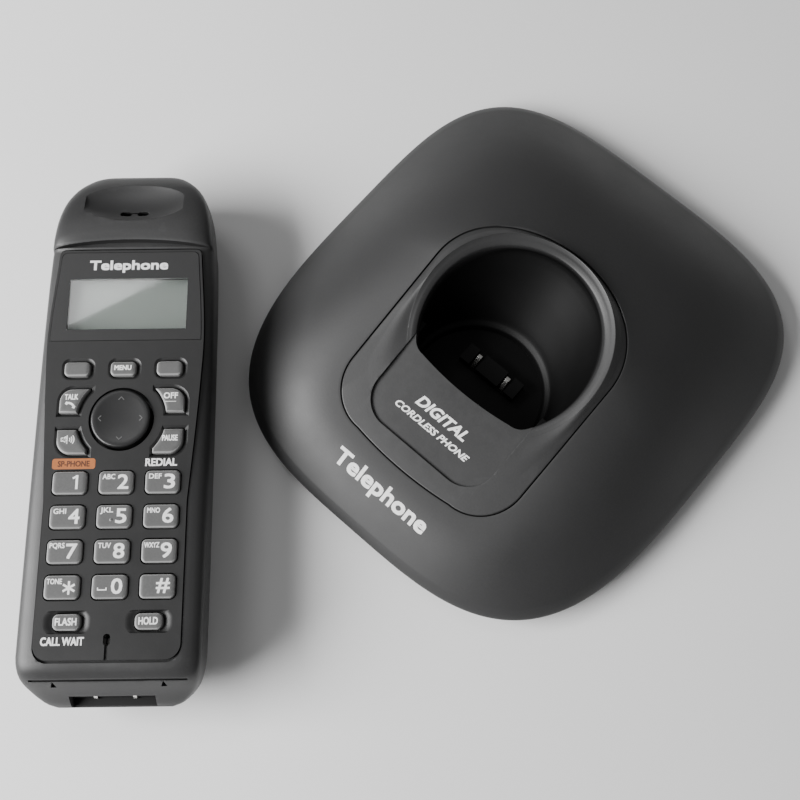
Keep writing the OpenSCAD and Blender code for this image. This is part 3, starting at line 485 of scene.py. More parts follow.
def pod_outline(g):
    """Outline of the cradle insert, grown by g."""
    w, r = POD_HALF_W + g, POD_CORNER + g
    x = w - r
    return np.concatenate([
        line((w, -POD_SIDE_FRONT), (w, 0), SIDE_N), arc((0, 0), 1, 0, 180, BACK_N) * (w, POD_BACK + g),
        line((-w, 0), (-w, -POD_SIDE_FRONT), SIDE_N), arc((-x, -POD_SIDE_FRONT), r, 180, 270, CORNER_N),
        bowed_front(x, -POD_SIDE_FRONT - r), arc((x, -POD_SIDE_FRONT), r, 270, 360, CORNER_N)])


def dee_outline(r, mid_y, front, corner, g):
    """A circle cut off in front, with fillets, grown by g."""
    big, small = r + g, corner + g
    y = -front - g + small
    x = math.sqrt((big - small) ** 2 - (y - mid_y) ** 2)
    a = math.degrees(math.atan2(y - mid_y, x))
    return np.concatenate([
        arc((0, mid_y), big, a, 180 - a, BACK_N + 2 * SIDE_N), arc((-x, y), small, 180 - a, 270, CORNER_N),
        bowed_front(x, y - small), arc((x, y), small, -90, a, CORNER_N)])


def lip_outline(g):
    return dee_outline(25.5, -5.5, 23.5, 5.5, g)


def ledge_outline(g):
    return dee_outline(21.5, -17.5, 24.5, 4, g)


def rim_outline(g):
    """Outline of the base, grown by g, on the same rays as the insert's."""
    pod = pod_outline(0)
    a = np.arctan2(pod[:, 1] - RIM_MID_Y, pod[:, 0])
    back = np.sin(a) > 0
    power = np.where(back, RIM_POWER_BACK, RIM_POWER_FRONT)
    reach = np.where(back, RIM_REACH - RIM_MID_Y, RIM_REACH + RIM_MID_Y) + g
    r = (np.abs(np.cos(a) / (RIM_HALF_W + g)) ** power + np.abs(np.sin(a) / reach) ** power) ** (-1 / power)
    return np.c_[r * np.cos(a), RIM_MID_Y + r * np.sin(a)]


def top_plane(y):
    return POD_Z + POD_SLOPE * y - BACK_FLATTEN * np.maximum(0, y) ** 2


def sloped_ring(outline, dz):
    return np.c_[outline, top_plane(outline[:, 1]) + dz]


def dome_height(high_y, u):
    return RIM_Z + (top_plane(high_y) - RIM_Z) * (u + DOME_CROWN * np.sin(np.pi * u))


def dome_ring(u, inset=0.0, drop=0.0):
    low, high = rim_outline(-RIM_BAND - inset), pod_outline(0)
    return np.c_[mix(low, high, u), dome_height(high[:, 1], u) - drop]


def hood(y):
    """How far the hood has risen at y, from 0 in front to 1."""
    v = np.clip((y + 22) / 22, 0, 1)
    return v * v * (3 - 2 * v)


def hood_ring(g, up, down):
    lip = lip_outline(g)
    return np.c_[lip, top_plane(lip[:, 1]) + up * hood(lip[:, 1]) - down]


def between_ring(t, up):
    p = mix(pod_outline(-0.6), lip_outline(2.8), t)
    return np.c_[p, top_plane(p[:, 1]) + up * (0.3 + 0.7 * hood(p[:, 1]))]


def wall_ring(t, g=0.0):
    a, b = lip_outline(g - 0.6), ledge_outline(g)
    return np.c_[mix(a, b, t), mix(top_plane(a[:, 1]) - 4, LEDGE_Z, t)]


def smoothed(rings, steps):
    """More rings on a smooth curve through the given ones (Catmull-Rom along each strand)."""
    r = np.stack([rings[0]] + list(rings) + [rings[-1]])
    out = []
    for i in range(1, len(r) - 2):
        for t in np.arange(steps) / steps:
            a, b, c, d = r[i - 1], r[i], r[i + 1], r[i + 2]
            out.append(0.5 * (2 * b + (c - a) * t + (2 * a - 5 * b + 4 * c - d) * t ** 2
                              + (3 * b - a - 3 * c + d) * t ** 3))
    out.append(r[-2])
    return out


# ---- base


POST_R, POST_HOLE_R, POST_HOLE_TOP = 3.6, 1.45, 12.4


def make_top_cabinet():
    """Dome with a rounded edge, its sloped band, and posts for the screws inside."""
    band = [flat_ring(rim_outline(-g), z) for g, z in RIM_PROFILE]
    steps = np.concatenate([[0.006], np.linspace(0.02, 0.985, 34)])
    dome = [dome_ring(u) for u in steps]
    edge = [np.c_[mix(rim_outline(-RIM_BAND), pod_outline(0), 0.995),
                  dome_height(pod_outline(0)[:, 1], 0.995) - 0.05],
            np.c_[pod_outline(0), dome_height(pod_outline(0)[:, 1], 1.0) - 0.3]]
    inside = [dome_ring(u, WALL, WALL) for u in (1, 0.8, 0.6, 0.4, 0.2, 0)]
    skirt = [flat_ring(rim_outline(-RIM_BAND - WALL), SEAM_Z)]
    piece = loft("base_dome", band + dome + edge + inside + skirt, BASE, loop=True)
    posts = []
    for x, y in SCREW_SPOTS:
        round_it = [BASE @ Vector((*p, 0)) for p in arc((x, y), POST_R, 0, 360, 16)]
        top = min(surface_height(piece, p) for p in round_it) / MM - 0.7
        posts.append(prism("post", arc((x, y), POST_R, 0, 360, 32), 3.4, top, BASE))
    join(piece, *posts)
    cut(piece, *(prism("hole", arc(spot, POST_HOLE_R, 0, 360, 24), 0, POST_HOLE_TOP, BASE)
                 for spot in SCREW_SPOTS))
    return dress(soften(piece, 0, 40), "base_top_cabinet")


def apron_points():
    """Outline of the shallow step in front of the pocket, in the sloped plane."""
    half_w, r, front, back = 21, 9, 46.9, 18
    return np.concatenate([
        [(half_w, -back), (-half_w, -back)],
        arc((-half_w + r, -front + r), r, 180, 270, 16), arc((half_w - r, -front + r), r, 270, 360, 16),
        [(half_w, -front + r)]])


SLOPED = BASE @ Matrix.Translation((0, 0, POD_Z)) @ Matrix.Rotation(math.atan(POD_SLOPE), 4, "X")
PLATFORM_HALF_W, PLATFORM_Y, PLATFORM_TOP = 10, (-13, -7.4), 9.6
CONTACT_X, CONTACT_SLOT_W = 5.3, 2.4
RIB_X, RIB_HALF_T, RIB_Y, RIB_TOP = 22.6, 1.5, (-19.5, -15.5), 22.5
CRADLE_WALL = 2
# Outside of the cradle up to its top face: how far past the part line, and how far below the face
PART_LINE = [(1.5, WALL + 3), (1.5, WALL + 1.8), (-0.25, WALL + 0.1), (-0.25, 0.5), (-0.32, 0.2), (-0.6, 0)]
# Lip of the hood: how far outside the pocket, how much less high than the hood, and how far down
HOOD_LIP = [(2.8, 0, 0), (2.6, 0.1, 0), (1.9, 0.5, 0.05), (1.2, 0.8, 0.1), (0.3, 1, 0.5), (0, 1.1, 0.9),
            (-0.2, 1.2, 1.8)]
# Edge of the ledge inside the pocket: how far in, and how high
LEDGE_EDGE = [(0.7, LEDGE_Z - 0.4), (1.5, LEDGE_Z - 1.2), (1.9, FLOOR_Z)]


def make_cradle():
    """Cradle moulding: hood, pocket, ledge, platform for the contacts, and the apron in front."""
    under = [flat_ring(ledge_outline(0.6), FLOOR_Z - CRADLE_WALL),
             flat_ring(ledge_outline(CRADLE_WALL), FLOOR_Z - 0.6),
             wall_ring(1, CRADLE_WALL), wall_ring(0, CRADLE_WALL)]
    under += [sloped_ring(pod_outline(g), -down) for g, down in PART_LINE]
    lip = smoothed([between_ring(0.35, 0.6), between_ring(0.7, 1.4)]
                   + [hood_ring(g, HOOD_H - sunk, down) for g, sunk, down in HOOD_LIP]
                   + [wall_ring(0), wall_ring(0.5)], 4)
    ledge = smoothed([wall_ring(0.9), wall_ring(0.98)]
                     + [flat_ring(ledge_outline(-g), z) for g, z in LEDGE_EDGE], 4)
    piece = loft("cradle_shell", under + lip + ledge, BASE)
    cut(piece, prism("apron", apron_points(), -APRON_DEPTH, 6, SLOPED))
    platform = block("platform", PLATFORM_HALF_W, PLATFORM_Y, (FLOOR_Z - 1, PLATFORM_TOP), BASE)
    ribs = [block("rib", (x - RIB_HALF_T, x + RIB_HALF_T), RIB_Y, (FLOOR_Z, RIB_TOP), BASE)
            for x in (-RIB_X, RIB_X)]
    for rib in ribs:
        pocket = [flat_ring(ledge_outline(1), FLOOR_Z - 1), flat_ring(ledge_outline(1), LEDGE_Z),
                  hood_ring(0.5, 0, 1)]
        keep(rib, loft("pocket", pocket, BASE))
    join(piece, platform, *ribs)
    slots = [block("slot", (x - CONTACT_SLOT_W / 2, x + CONTACT_SLOT_W / 2),
                   (PLATFORM_Y[0] - 1, PLATFORM_Y[1] + 1), (FLOOR_Z + 1, 20), BASE)
             for x in (-CONTACT_X, CONTACT_X)]
    cut(piece, *slots)
    return dress(soften(piece, 0.18, 30), "cradle_insert")


# ---- lettering

_trees = {}


def surface_height(piece, p):
    """Height of a piece's top surface at the point p."""
    if piece.name not in _trees:
        mesh = piece.data
        _trees[piece.name] = BVHTree.FromPolygons([v.co[:] for v in mesh.vertices],
                                                  [f.vertices[:] for f in mesh.polygons])
    hit = _trees[piece.name].ray_cast(Vector((p.x, p.y, 0.2)), Vector((0, 0, -1)))[0]
    return hit.z if hit else p.z


INK_STEP = 0.003    # millimetres between the layers of one print, so that none share a plane


def letter_faces(text, slant=0.0):
    """Flat faces of a line of text in the built-in font."""
    curve = bpy.data.curves.new("letters", "FONT")
    curve.body = text
    curve.shear = slant
    curve.resolution_u = 3
    words = linked("letters", curve)
    mesh = bpy.data.meshes.new_from_object(words.evaluated_get(bpy.context.evaluated_depsgraph_get()))
    bpy.data.objects.remove(words)
    bm = bmesh.new()
    bm.from_mesh(mesh)
    bpy.data.meshes.remove(mesh)
    bmesh.ops.remove_doubles(bm, verts=bm.verts, dist=1e-4)
    return bm


def thickened(bm, x, y):
    """Four copies of flat faces, moved towards the four corners, each a layer higher."""
    first = bm.verts[:] + bm.edges[:] + bm.faces[:]
    corners = [(-x, y), (x, -y), (x, y)]
    copies = [bmesh.ops.duplicate(bm, geom=first)["geom"] for _ in corners]
    for k, (geometry, move) in enumerate(zip([first] + copies, [(-x, -y)] + corners)):
        for v in geometry:
            if isinstance(v, bmesh.types.BMVert):
                v.co += Vector((*move, k * INK_STEP))


def shape_faces(outlines):
    """Flat faces from outlines, each a layer higher."""
    bm = bmesh.new()
    for k, outline in enumerate(outlines):
        bm.faces.new([bm.verts.new((x, y, k * INK_STEP)) for x, y in outline])
    return bm


INK_THICK, INK_EDGE = 0.035, 0.7    # half a print's thickness, and its longest edge, in millimetres


def lay_print(name, bm, scale, spot, on, matrix, material, thick):
    """Lays flat faces on a piece's surface as a thin closed layer of ink, centred on spot."""
    low = Vector(min(v.co[k] for v in bm.verts) for k in range(3))
    high = Vector(max(v.co[k] for v in bm.verts) for k in range(3))
    middle = (low + high) / 2
    bmesh.ops.triangulate(bm, faces=bm.faces)
    for _ in range(4):
        long_edges = [e for e in bm.edges if e.calc_length() * max(scale) > INK_EDGE]
        if not long_edges:
            break
        bmesh.ops.subdivide_edges(bm, edges=long_edges, cuts=1)
        bmesh.ops.triangulate(bm, faces=bm.faces)
    grown = bmesh.ops.extrude_face_region(bm, geom=bm.faces[:])
    top = {v for v in grown["geom"] if isinstance(v, bmesh.types.BMVert)}
    for v in bm.verts:
        p = matrix @ Vector((spot[0] + (v.co.x - middle.x) * scale[0],
                             spot[1] + (v.co.y - middle.y) * scale[1], 0))
        p.z = surface_height(on, p) + (v.co.z + (thick if v in top else -thick)) * MM
        v.co = p
    bmesh.ops.recalc_face_normals(bm, faces=bm.faces)
    mesh = bpy.data.meshes.new(name)
    bm.to_mesh(mesh)
    bm.free()
    return dress(linked(name, mesh), on=on, material=material)


CAPITAL = max(v.co.y for v in letter_faces("H").verts)


def letters(name, text, height, width, spot, on, bold, matrix=HAND, slant=0.0, material=WHITE_INK,
            thick=INK_THICK):
    """A line of text with capitals of that height, squeezed or stretched to that width, grown by bold."""
    bm = letter_faces(text, slant)
    length = max(v.co.x for v in bm.verts) - min(v.co.x for v in bm.verts)
    scale = (width - 2 * bold) / length, (height - 2 * bold) / CAPITAL
    thickened(bm, bold / scale[0], bold / scale[1])
    return lay_print(name, bm, scale, spot, on, matrix, material, thick)


def shapes(name, outlines, spot, on, size=1, material=WHITE_INK, thick=INK_THICK):
    return lay_print(name, shape_faces(outlines), (size, size), spot, on, HAND, material, thick)


def ribbon(points, width):
    """Outline of a stroke of constant width along points."""
    p = np.asarray(points, float)
    along = np.gradient(p, axis=0)
    normal = np.c_[-along[:, 1], along[:, 0]] / np.linalg.norm(along, axis=1)[:, None] * width / 2
    return np.concatenate([p + normal, (p - normal)[::-1]])


# ---- handset body

THICK = 27
# Stations along the handset: y, half width, underside, top, bow towards the ear end
STATIONS = np.array([
    (-57.7, 15.0, 11.3, 14.6, 0), (-57.0, 17.2, 9.2, 15.9, 0), (-55.5, 19.4, 6.6, 17.8, 0),
    (-53.5, 21.4, 4.2, 20.4, 0), (-51.5, 22.8, 2.6, 23.5, 0), (-50.0, 23.4, 1.8, 25.2, 0),
    (-48.0, 23.9, 1.0, 26.4, 0), (-45.0, 24.2, 0.4, THICK, 0), (-38.0, 24.2, 0, THICK, 0),
    (14.0, 24.0, 0, THICK, 0), (40.0, 23.8, 0, THICK, 0), (62.0, 23.4, 0, THICK, 0),
    (67.8, 23.1, 0.3, THICK, 0.1), (68.8, 23.0, 0.4, THICK + 1.2, 2), (71.5, 22.8, 0.7, THICK + 1.5, 1.5),
    (76.0, 22.3, 1.3, THICK + 1.3, 0.5), (82.0, 21.0, 2.7, THICK + 0.2, 0),
    (87.0, 18.7, 4.9, THICK - 1.5, 0), (91.0, 15.2, 7.7, THICK - 3.7, 0),
    (93.5, 11.3, 10.6, THICK - 5.9, 0), (94.7, 6.8, 13.5, THICK - 8.6, 0)])
SECTION_N = 144
WIDEST, TOP_POWER, BACK_POWER = 0.74, 6, 2.5
SHELL_T, SPLIT_Z, SPLIT_GAP = 1.8, 14, 0.08
FAR, LENGTHWISE, BELOW = 40, (-70, 110), -1    # clear of the handset sideways and above, along and below
HANDSET_MID_Y, HANDSET_LEN, MIDDLE_HALF_W = 18.5, 152.4, 24.1


def monotone(xs, ys, x):
    """Smooth curve through points that never overshoots them."""
    h, d = np.diff(xs), np.diff(ys) / np.diff(xs)
    slope = np.zeros(len(xs))
    same = d[:-1] * d[1:] > 0
    w1, w2 = 2 * h[1:] + h[:-1], h[1:] + 2 * h[:-1]
    with np.errstate(divide="ignore", invalid="ignore"):
        inner = (w1 + w2) / (w1 / d[:-1] + w2 / d[1:])
    slope[1:-1] = np.where(same, inner, 0)
    slope[0], slope[-1] = d[0], d[-1]
    i = np.clip(np.searchsorted(xs, x) - 1, 0, len(xs) - 2)
    t = (x - xs[i]) / h[i]
    return (ys[i] * (1 + 2 * t) * (1 - t) ** 2 + ys[i + 1] * t * t * (3 - 2 * t)
            + h[i] * (slope[i] * t * (1 - t) ** 2 - slope[i + 1] * t * t * (1 - t)))


def station_rows():
    """Stations closed up where the shape turns quickly."""
    y = np.concatenate([
        -57.7 + np.linspace(0, 1, 14) ** 1.5 * 12.7, np.linspace(-43, 66, 16), np.linspace(67.2, 72, 13),
        np.linspace(73.5, 88, 9), 94.7 - np.linspace(1, 0, 15)[:-1] ** 1.6 * 5.9, [94.7]])
    y = np.unique(np.round(y, 3))
    return np.c_[y, *(monotone(STATIONS[:, 0], STATIONS[:, k], y) for k in range(1, 5))]


def section_xz(w, low, high):
    """Cross-section of the handset as x and z, from its half width, underside and top."""
    a = -np.arange(SECTION_N) / SECTION_N * 2 * np.pi
    a = a + np.radians(9) * np.sin(2 * a) * np.where(np.sin(a) > 0, -1, 0)
    up = np.sin(a) > 0
    power = np.where(up, TOP_POWER, BACK_POWER)
    waist = mix(low, high, WIDEST)
    tall = np.where(up, high - waist, waist - low)
    r = (np.abs(np.cos(a) / w) ** power + np.abs(np.sin(a) / tall) ** power) ** (-1 / power)
    return r * np.cos(a), waist + r * np.sin(a)


def section(row, g):
    y, w, low, high, bow = row
    x, z = section_xz(w - g, low + g, high - g)
    y = HANDSET_MID_Y + (y - HANDSET_MID_Y) * (1 - 2 * g / HANDSET_LEN)
    return np.c_[x, y + bow * (1 - (x / w) ** 2), z]


def section_bar(name, g, y):
    """The middle cross-section as a straight bar."""
    x, z = section_xz(MIDDLE_HALF_W - g, g, THICK - g)
    return loft(name, [np.c_[x, np.full(len(x), float(v)), z] for v in y])


def handset_skin(name, g):
    rows = [r for r in station_rows() if r[3] - r[2] > 2 * g + 2 and r[1] > g + 6]
    return loft(name, [section(r, g) for r in rows])


DECK_TOP, DECK_LOW = THICK - 1.6, THICK - 3.2
PANEL_Y = (-46.1, 67.5)
PANEL_SIDE = [(19, -42.1), (19, -5), (20.4, 14), (21.2, 27), (21.7, 40), (20, 67.5)]
PANEL_CORNER, PANEL_TOP_CORNER = 4, 1.6
WINDOW_Y = (40.3, 66.8)
GLASS_Y, GLASS_W = (43.6, 58.7), 33.2
PITCH = (12.4, 9.2)
KEY_W, KEY_H, KEY_GAP = 9.2, 6.2, 0.4
KEY_TOP = THICK + 0.9
NAV = (0.2, 17.6)
NAV_R, NAV_GAP = 8.1, 0.8
SOFT_Y, SOFT_PITCH = 31.9, 12.7
LOW_KEY = (10.6, -36.5)
MIC_Y, SLOT_Y = -41, 79.4
NOSE_HALF_W, NOSE_Z = 11.3, (12.5, 18.6)


def round_rect(x, y, w, h, r, steps=7):
    w, h = w / 2 - r, h / 2 - r
    return np.concatenate([arc((x + east * w, y + north * h), r, 90 * k, 90 * k + 90, steps + 1, True)
                           for k, (east, north) in enumerate(((1, 1), (-1, 1), (-1, -1), (1, -1)))])


def panel_outline(g):
    """Outline of the face panel, shrunk by g."""
    r, top_r = PANEL_CORNER - g, PANEL_TOP_CORNER
    side = np.array(PANEL_SIDE, float)
    ys = np.linspace(side[1][1], PANEL_Y[1] - g - top_r, 24)
    xs = monotone(side[1:, 1], side[1:, 0], ys) - g
    x_top, y_top = xs[-1] - top_r, ys[-1]
    right = np.concatenate([[(side[0][0] - g, side[0][1])], np.c_[xs, ys][:-1],
                            arc((x_top, y_top), top_r, 0, 90, 7), [(x_top, y_top + top_r)]])
    left = right[::-1] * (-1, 1)
    x, y = side[0][0] - g - r, PANEL_Y[0] + g + r
    return np.concatenate([right, left, arc((-x, y), r, 180, 270, 9)[1:], arc((x, y), r, 270, 360, 9)])


def corner_key_outline(sx, sy, g):
    """Key beside the navigator: a large outer corner, and an arc round the navigator."""
    x1, y0, y1 = 17 + g, 3 - 0.6 - g, 9.7 - 0.6 + g
    x0 = 9 - g
    r, arc_r, mid = 3.6 + g, 12.3 - g, 0.6 * sy
    on_arc = lambda y: math.sqrt(arc_r ** 2 - (y - mid) ** 2)
    y_turn = mid + math.sqrt(arc_r ** 2 - x0 ** 2) if arc_r > x0 else y0
    y_turn = min(max(y_turn, y0), y1)
    ys = np.linspace(y_turn, y0, 14)
    inner = [(max(on_arc(y), x0), y) for y in ys]
    points = np.concatenate([
        [(x1, y0 + 0.01)], arc((x1 - r, y1 - r), r, 0, 90, 12), [(x1 - r, y1)],
        [(x0 if y_turn < y1 - 1e-6 else on_arc(y1), y1)], inner])
    points = points * (sx, sy)
    if sx * sy < 0:
        points = points[::-1]
    return points + (NAV[0], NAV[1] - 0.6)


DIALS = ["key_%d" % k for k in range(1, 10)] + ["key_star", "key_0", "key_hash"]
SOFT_KEYS = "soft_key_left", "menu_key", "soft_key_right"
CORNER_KEYS = {"talk_key": (-1, 1), "off_key": (1, 1), "speaker_key": (-1, -1), "pause_key": (1, -1)}


def dial_spot(i):
    return PITCH[0] * (i % 3 - 1), -PITCH[1] * (i // 3)


def key_outlines(g):
    """Every key's outline by node name, grown by g."""
    out = {n: round_rect(*dial_spot(i), KEY_W + 2 * g, KEY_H + 2 * g, 1.3 + g) for i, n in enumerate(DIALS)}
    for i, n in enumerate(SOFT_KEYS):
        out[n] = round_rect(SOFT_PITCH * (i - 1), SOFT_Y, 7 + 2 * g, 4 + 2 * g, 1.2 + g)
    for n, corner in CORNER_KEYS.items():
        out[n] = corner_key_outline(*corner, g)
    for s, n in ((-1, "flash_key"), (1, "hold_key")):
        out[n] = round_rect(s * LOW_KEY[0], LOW_KEY[1], 7.2 + 2 * g, 4.2 + 2 * g, 1.5 + g)
    return out


def key_openings(low):
    """Tools for the openings round the keys, the navigator and the microphone."""
    outlines = [*key_outlines(KEY_GAP).values(), arc(NAV, NAV_R + NAV_GAP, 0, 360, 72),
                round_rect(0, MIC_Y, 1.8, 3, 0.85)]
    return [prism("opening", outline, low, FAR) for outline in outlines]


def glass_block(name, g, low, high):
    """Box round the display's glass, grown by g."""
    return block(name, GLASS_W / 2 + g, (GLASS_Y[0] - g, GLASS_Y[1] + g), (low, high))


DISH_HALF_LEN, DISH_R, DISH_END_R, DISH_Y, DISH_RISE = 14.2, 12.4, 10.3, 85.6, 9.3


def ear_dish(g):
    """Barrel that scoops out the rest for the ear, grown by g."""
    half_len, deep, shallow = DISH_HALF_LEN, DISH_R, DISH_END_R
    arc_r = (half_len ** 2 + (deep - shallow) ** 2) / (2 * (deep - shallow))
    reach = math.asin(half_len / arc_r)
    turn = np.arange(96) / 96 * 2 * np.pi
    rings = []
    for t in np.linspace(-reach, reach, 33):
        r = deep - arc_r + arc_r * math.cos(t) + g
        rings.append(np.c_[np.full(96, arc_r * math.sin(t)), DISH_Y + r * np.cos(turn),
                           THICK + DISH_RISE + r * np.sin(turn)])
    return loft("dish", rings)


def nose_window():
    """Recess for the charge terminals in the lower end."""
    return block("nose", NOSE_HALF_W, (-60, -50.6), NOSE_Z)


UPPER_SCREWS, LOWER_SCREWS = [(14, 71), (-14, 71)], [(14, -44.5), (-14, -44.5)]
SCREWS = UPPER_SCREWS + LOWER_SCREWS
SCREW_SEAT_Z = 6.6
BORE_R, BORE_HEAD_R = 1.35, 2.5


def posts_at(spots, r, low, high):
    return [prism("post", arc(p, r, 0, 360, 32), low, high) for p in spots]


def crescent():
    """Undercut between the ear part and the panel, deepest in the middle."""
    x = np.linspace(-22.4, 22.4, 60)
    low = np.c_[x, np.full(60, 68.35)]
    high = np.c_[x, 68.4 + 2.0 * (1 - (x / 22.6) ** 2)]
    return prism("crescent", np.concatenate([low, high[::-1]]), THICK - 1.2, FAR)


def end_crease():
    """Groove where the front shell meets its end face."""
    piece = block("crease", 20.5, (-51.2, -50.75), (SPLIT_Z + 4, FAR))
    return cut(piece, handset_skin("crease_depth", 0.4))


def ear_holes():
    """Two sound holes of the receiver and the thin slot that links them."""
    holes = [prism("hole", round_rect(x, SLOT_Y, 3.3, 1.7, 0.8), 15, FAR) for x in (-2.45, 2.45)]
    return holes + [block("link", 1.2, (SLOT_Y + 0.1, SLOT_Y + 0.62), (15, FAR))]


def skin_part(name, g, slab):
    """What a slab keeps of the handset's body, shrunk by g."""
    return keep(handset_skin(name, g), slab)


def make_front_shell():
    piece = handset_skin("handset_front", 0)
    cut(piece, handset_skin("inside", SHELL_T))
    keep(piece, block("upper", FAR, LENGTHWISE, (SPLIT_Z + SPLIT_GAP, FAR)))
    deck = skin_part("deck", 0.6, block("deck_slab", FAR, (-49, 68.5), (DECK_LOW, DECK_TOP + 1)))
    ear = skin_part("ear", 0.6, ear_dish(1.5))
    backing = skin_part("backing", 0.6, block("backing_slab", 22, (67, 72), (THICK - 3, FAR)))
    posts = posts_at(UPPER_SCREWS, 3, SPLIT_Z, THICK - 1) + posts_at(LOWER_SCREWS, 3, SPLIT_Z, DECK_TOP)
    join(piece, deck, ear, backing, *posts)
    recess = panel_outline(-0.22)
    recess[recess[:, 1] < -20, 1] -= 0.5
    recess[recess[:, 1] > 60, 1] += 0.12
    cut(piece, prism("recess", recess, DECK_TOP, FAR), crescent())
    cut(piece, glass_block("view", 0.7, DECK_LOW - 1, FAR))
    cut(piece, *key_openings(DECK_LOW - 1))
    cut(piece, ear_dish(0), nose_window(), end_crease(), *ear_holes())
    cut(piece, *posts_at(SCREWS, 1.2, 0, SPLIT_Z + 4.5))
    notches = [prism("notch", [(x - 0.8, -52.6), (x + 0.8, -52.6), (x, -51.2)], 20, FAR)
               for x in (-14.3, 14.3)]
    cut(piece, *notches)
    return dress(soften(piece, 0.2, 30), "handset_front_shell")


COVER_HALF_W, COVER_Y, COVER_T, COVER_GAP = 16, (-46.5, 14), 1.3, 0.3
COVER_HOLE_TOP, MARK_DEPTH = 6.8, 0.4
BAY_HALF_W, BAY_Y, BAY_TOP, BAY_T = 11.2, (-39.5, 9.5), 13.5, 1.2
SPEAKER_Y = 47


def make_rear_shell():
    under = COVER_T + COVER_GAP
    piece = handset_skin("handset_rear", 0)
    keep(piece, block("lower", FAR, LENGTHWISE, (BELOW, SPLIT_Z - SPLIT_GAP)))
    cover_hole = block("cover_hole", COVER_HALF_W + 0.25, (COVER_Y[0] - 0.2, COVER_Y[1] + 0.25),
                       (BELOW, COVER_HOLE_TOP))
    cut(piece, handset_skin("inside", SHELL_T), cover_hole)
    lining = block("lining", COVER_HALF_W + 1.5, (COVER_Y[0] - 6, COVER_Y[1] + 2), (BELOW, 8.2))
    cut(lining, handset_skin("lining_depth", under + 1.3))
    bay = block("bay", BAY_HALF_W + BAY_T, (BAY_Y[0] - BAY_T, BAY_Y[1] + BAY_T), (0, BAY_TOP + BAY_T))
    join(lining, bay, *posts_at(SCREWS, 3.3, 0, SPLIT_Z))
    keep(lining, handset_skin("inner", under))
    join(piece, lining)
    path = block("path", COVER_HALF_W + 0.25, (COVER_Y[0] - 12, COVER_Y[0] + 0.1), (BELOW, COVER_HOLE_TOP))
    cut(path, section_bar("path_floor", under, (-70, 20)))
    cut(piece, path, block("bay_hole", BAY_HALF_W, BAY_Y, (BELOW, BAY_TOP)), nose_window())
    slots = [prism("slot", round_rect(0, SPEAKER_Y + 2.8 * k, 13 - abs(k) * 2, 1.3, 0.6), BELOW, 5)
             for k in range(-2, 3)]
    cut(piece, *slots)
    bore = [(BORE_HEAD_R, BELOW), (BORE_HEAD_R, SCREW_SEAT_Z), (BORE_R, SCREW_SEAT_Z), (BORE_R, 20)]
    for spot in SCREWS:
        tool = loft("bore", [flat_ring(arc(spot, r, 3, 363, 30), z) for r, z in bore])
        combine(piece, [tool], "DIFFERENCE", crossing=True)
    weld(piece)
    return dress(soften(piece, 0.12, 30), "handset_rear_shell")


def make_cover():
    """Battery cover with ridges for the thumb and an arrow."""
    piece = section_bar("cover", 0, COVER_Y)
    cut(piece, section_bar("cover_inside", COVER_T, (-80, 80)))
    keep(piece, block("span", COVER_HALF_W, COVER_Y, (BELOW, 6.6)))
    grooves = [prism("groove", round_rect(0, 9.5 - 1.9 * k, 13, 0.9, 0.4), BELOW, MARK_DEPTH)
               for k in range(5)]
    arrow = prism("arrow", [(-2.4, -3.5), (0, -6.5), (2.4, -3.5)], BELOW, MARK_DEPTH)
    cut(piece, *grooves, arrow)
    return dress(soften(piece, 0.2, 30), "battery_cover")


def key_dishes():
    """Shallow scoops in the panel round the small keys."""
    wide, narrow = key_outlines(1.15), key_outlines(KEY_GAP)
    dishes = []
    for node in (*SOFT_KEYS, *CORNER_KEYS):
        brim = wide[node] + (0.25, 0.1)
        rings = [flat_ring(narrow[node], THICK - 1), flat_ring(narrow[node], THICK - 0.55),
                 flat_ring(brim, THICK + 0.02), flat_ring(brim, THICK + 1)]
        dishes.append(loft("dish", rings))
    for s in (-1, 1):
        spot = s * LOW_KEY[0], LOW_KEY[1]
        rings = [flat_ring(round_rect(*spot, *size, r, 12), z) for size, r, z in (
            ((8, 5), 1.9, THICK - 1), ((8, 5), 1.9, THICK - 0.7), ((10, 5.4), 2.1, THICK - 0.45),
            ((12.6, 5.9), 2.2, THICK + 0.02), ((12.6, 5.9), 2.2, THICK + 1))]
        dishes.append(loft("dish", rings))
    return dishes


def make_panel():
    piece = prism("handset_panel", panel_outline(0), DECK_TOP, THICK)
    cut(piece, *key_openings(DECK_TOP - 1))
    cut(piece, glass_block("view", 0.3, DECK_TOP - 1, FAR))
    seat = prism("seat", panel_outline(0.65), THICK - 0.8, FAR)
    keep(seat, block("seat_slab", 30, (WINDOW_Y[0] - 0.1, 90), (0, 50)))
    groove = block("groove", 0.45, (PANEL_Y[0] - 1, MIC_Y - 1), (THICK - 0.5, FAR))
    cut(piece, seat, groove, *key_dishes())
    return dress(soften(piece, 0.22, 28, 3), "face_panel")


PANE_TOP = THICK + 0.1


def make_window():
    """Window: an opaque printed border, with a clear pane set into it."""
    border = prism("window_border", panel_outline(0.75), THICK - 0.78, THICK + 0.13)
    keep(border, block("slab", 30, (WINDOW_Y[0], 90), (0, 50)))
    cut(border, glass_block("view", 0, 0, 50))
    soften(border, 0.12, 30)
    dress(border, "display_window", material=BORDER_PRINT)
    pane = glass_block("window_pane", 0, THICK - 0.7, PANE_TOP)
    soften(pane, 0.05, 30)
    dress(pane, "display_window")
    return border


KEY_LOW, FLANGE_T = 22.85, 0.7
# Rim of a key cap: how far the outline draws in, and how far below the top it is
CAP_RIM = [(0, 0.75), (0.03, 0.5), (0.1, 0.3), (0.22, 0.14), (0.4, 0.04), (0.62, 0)]


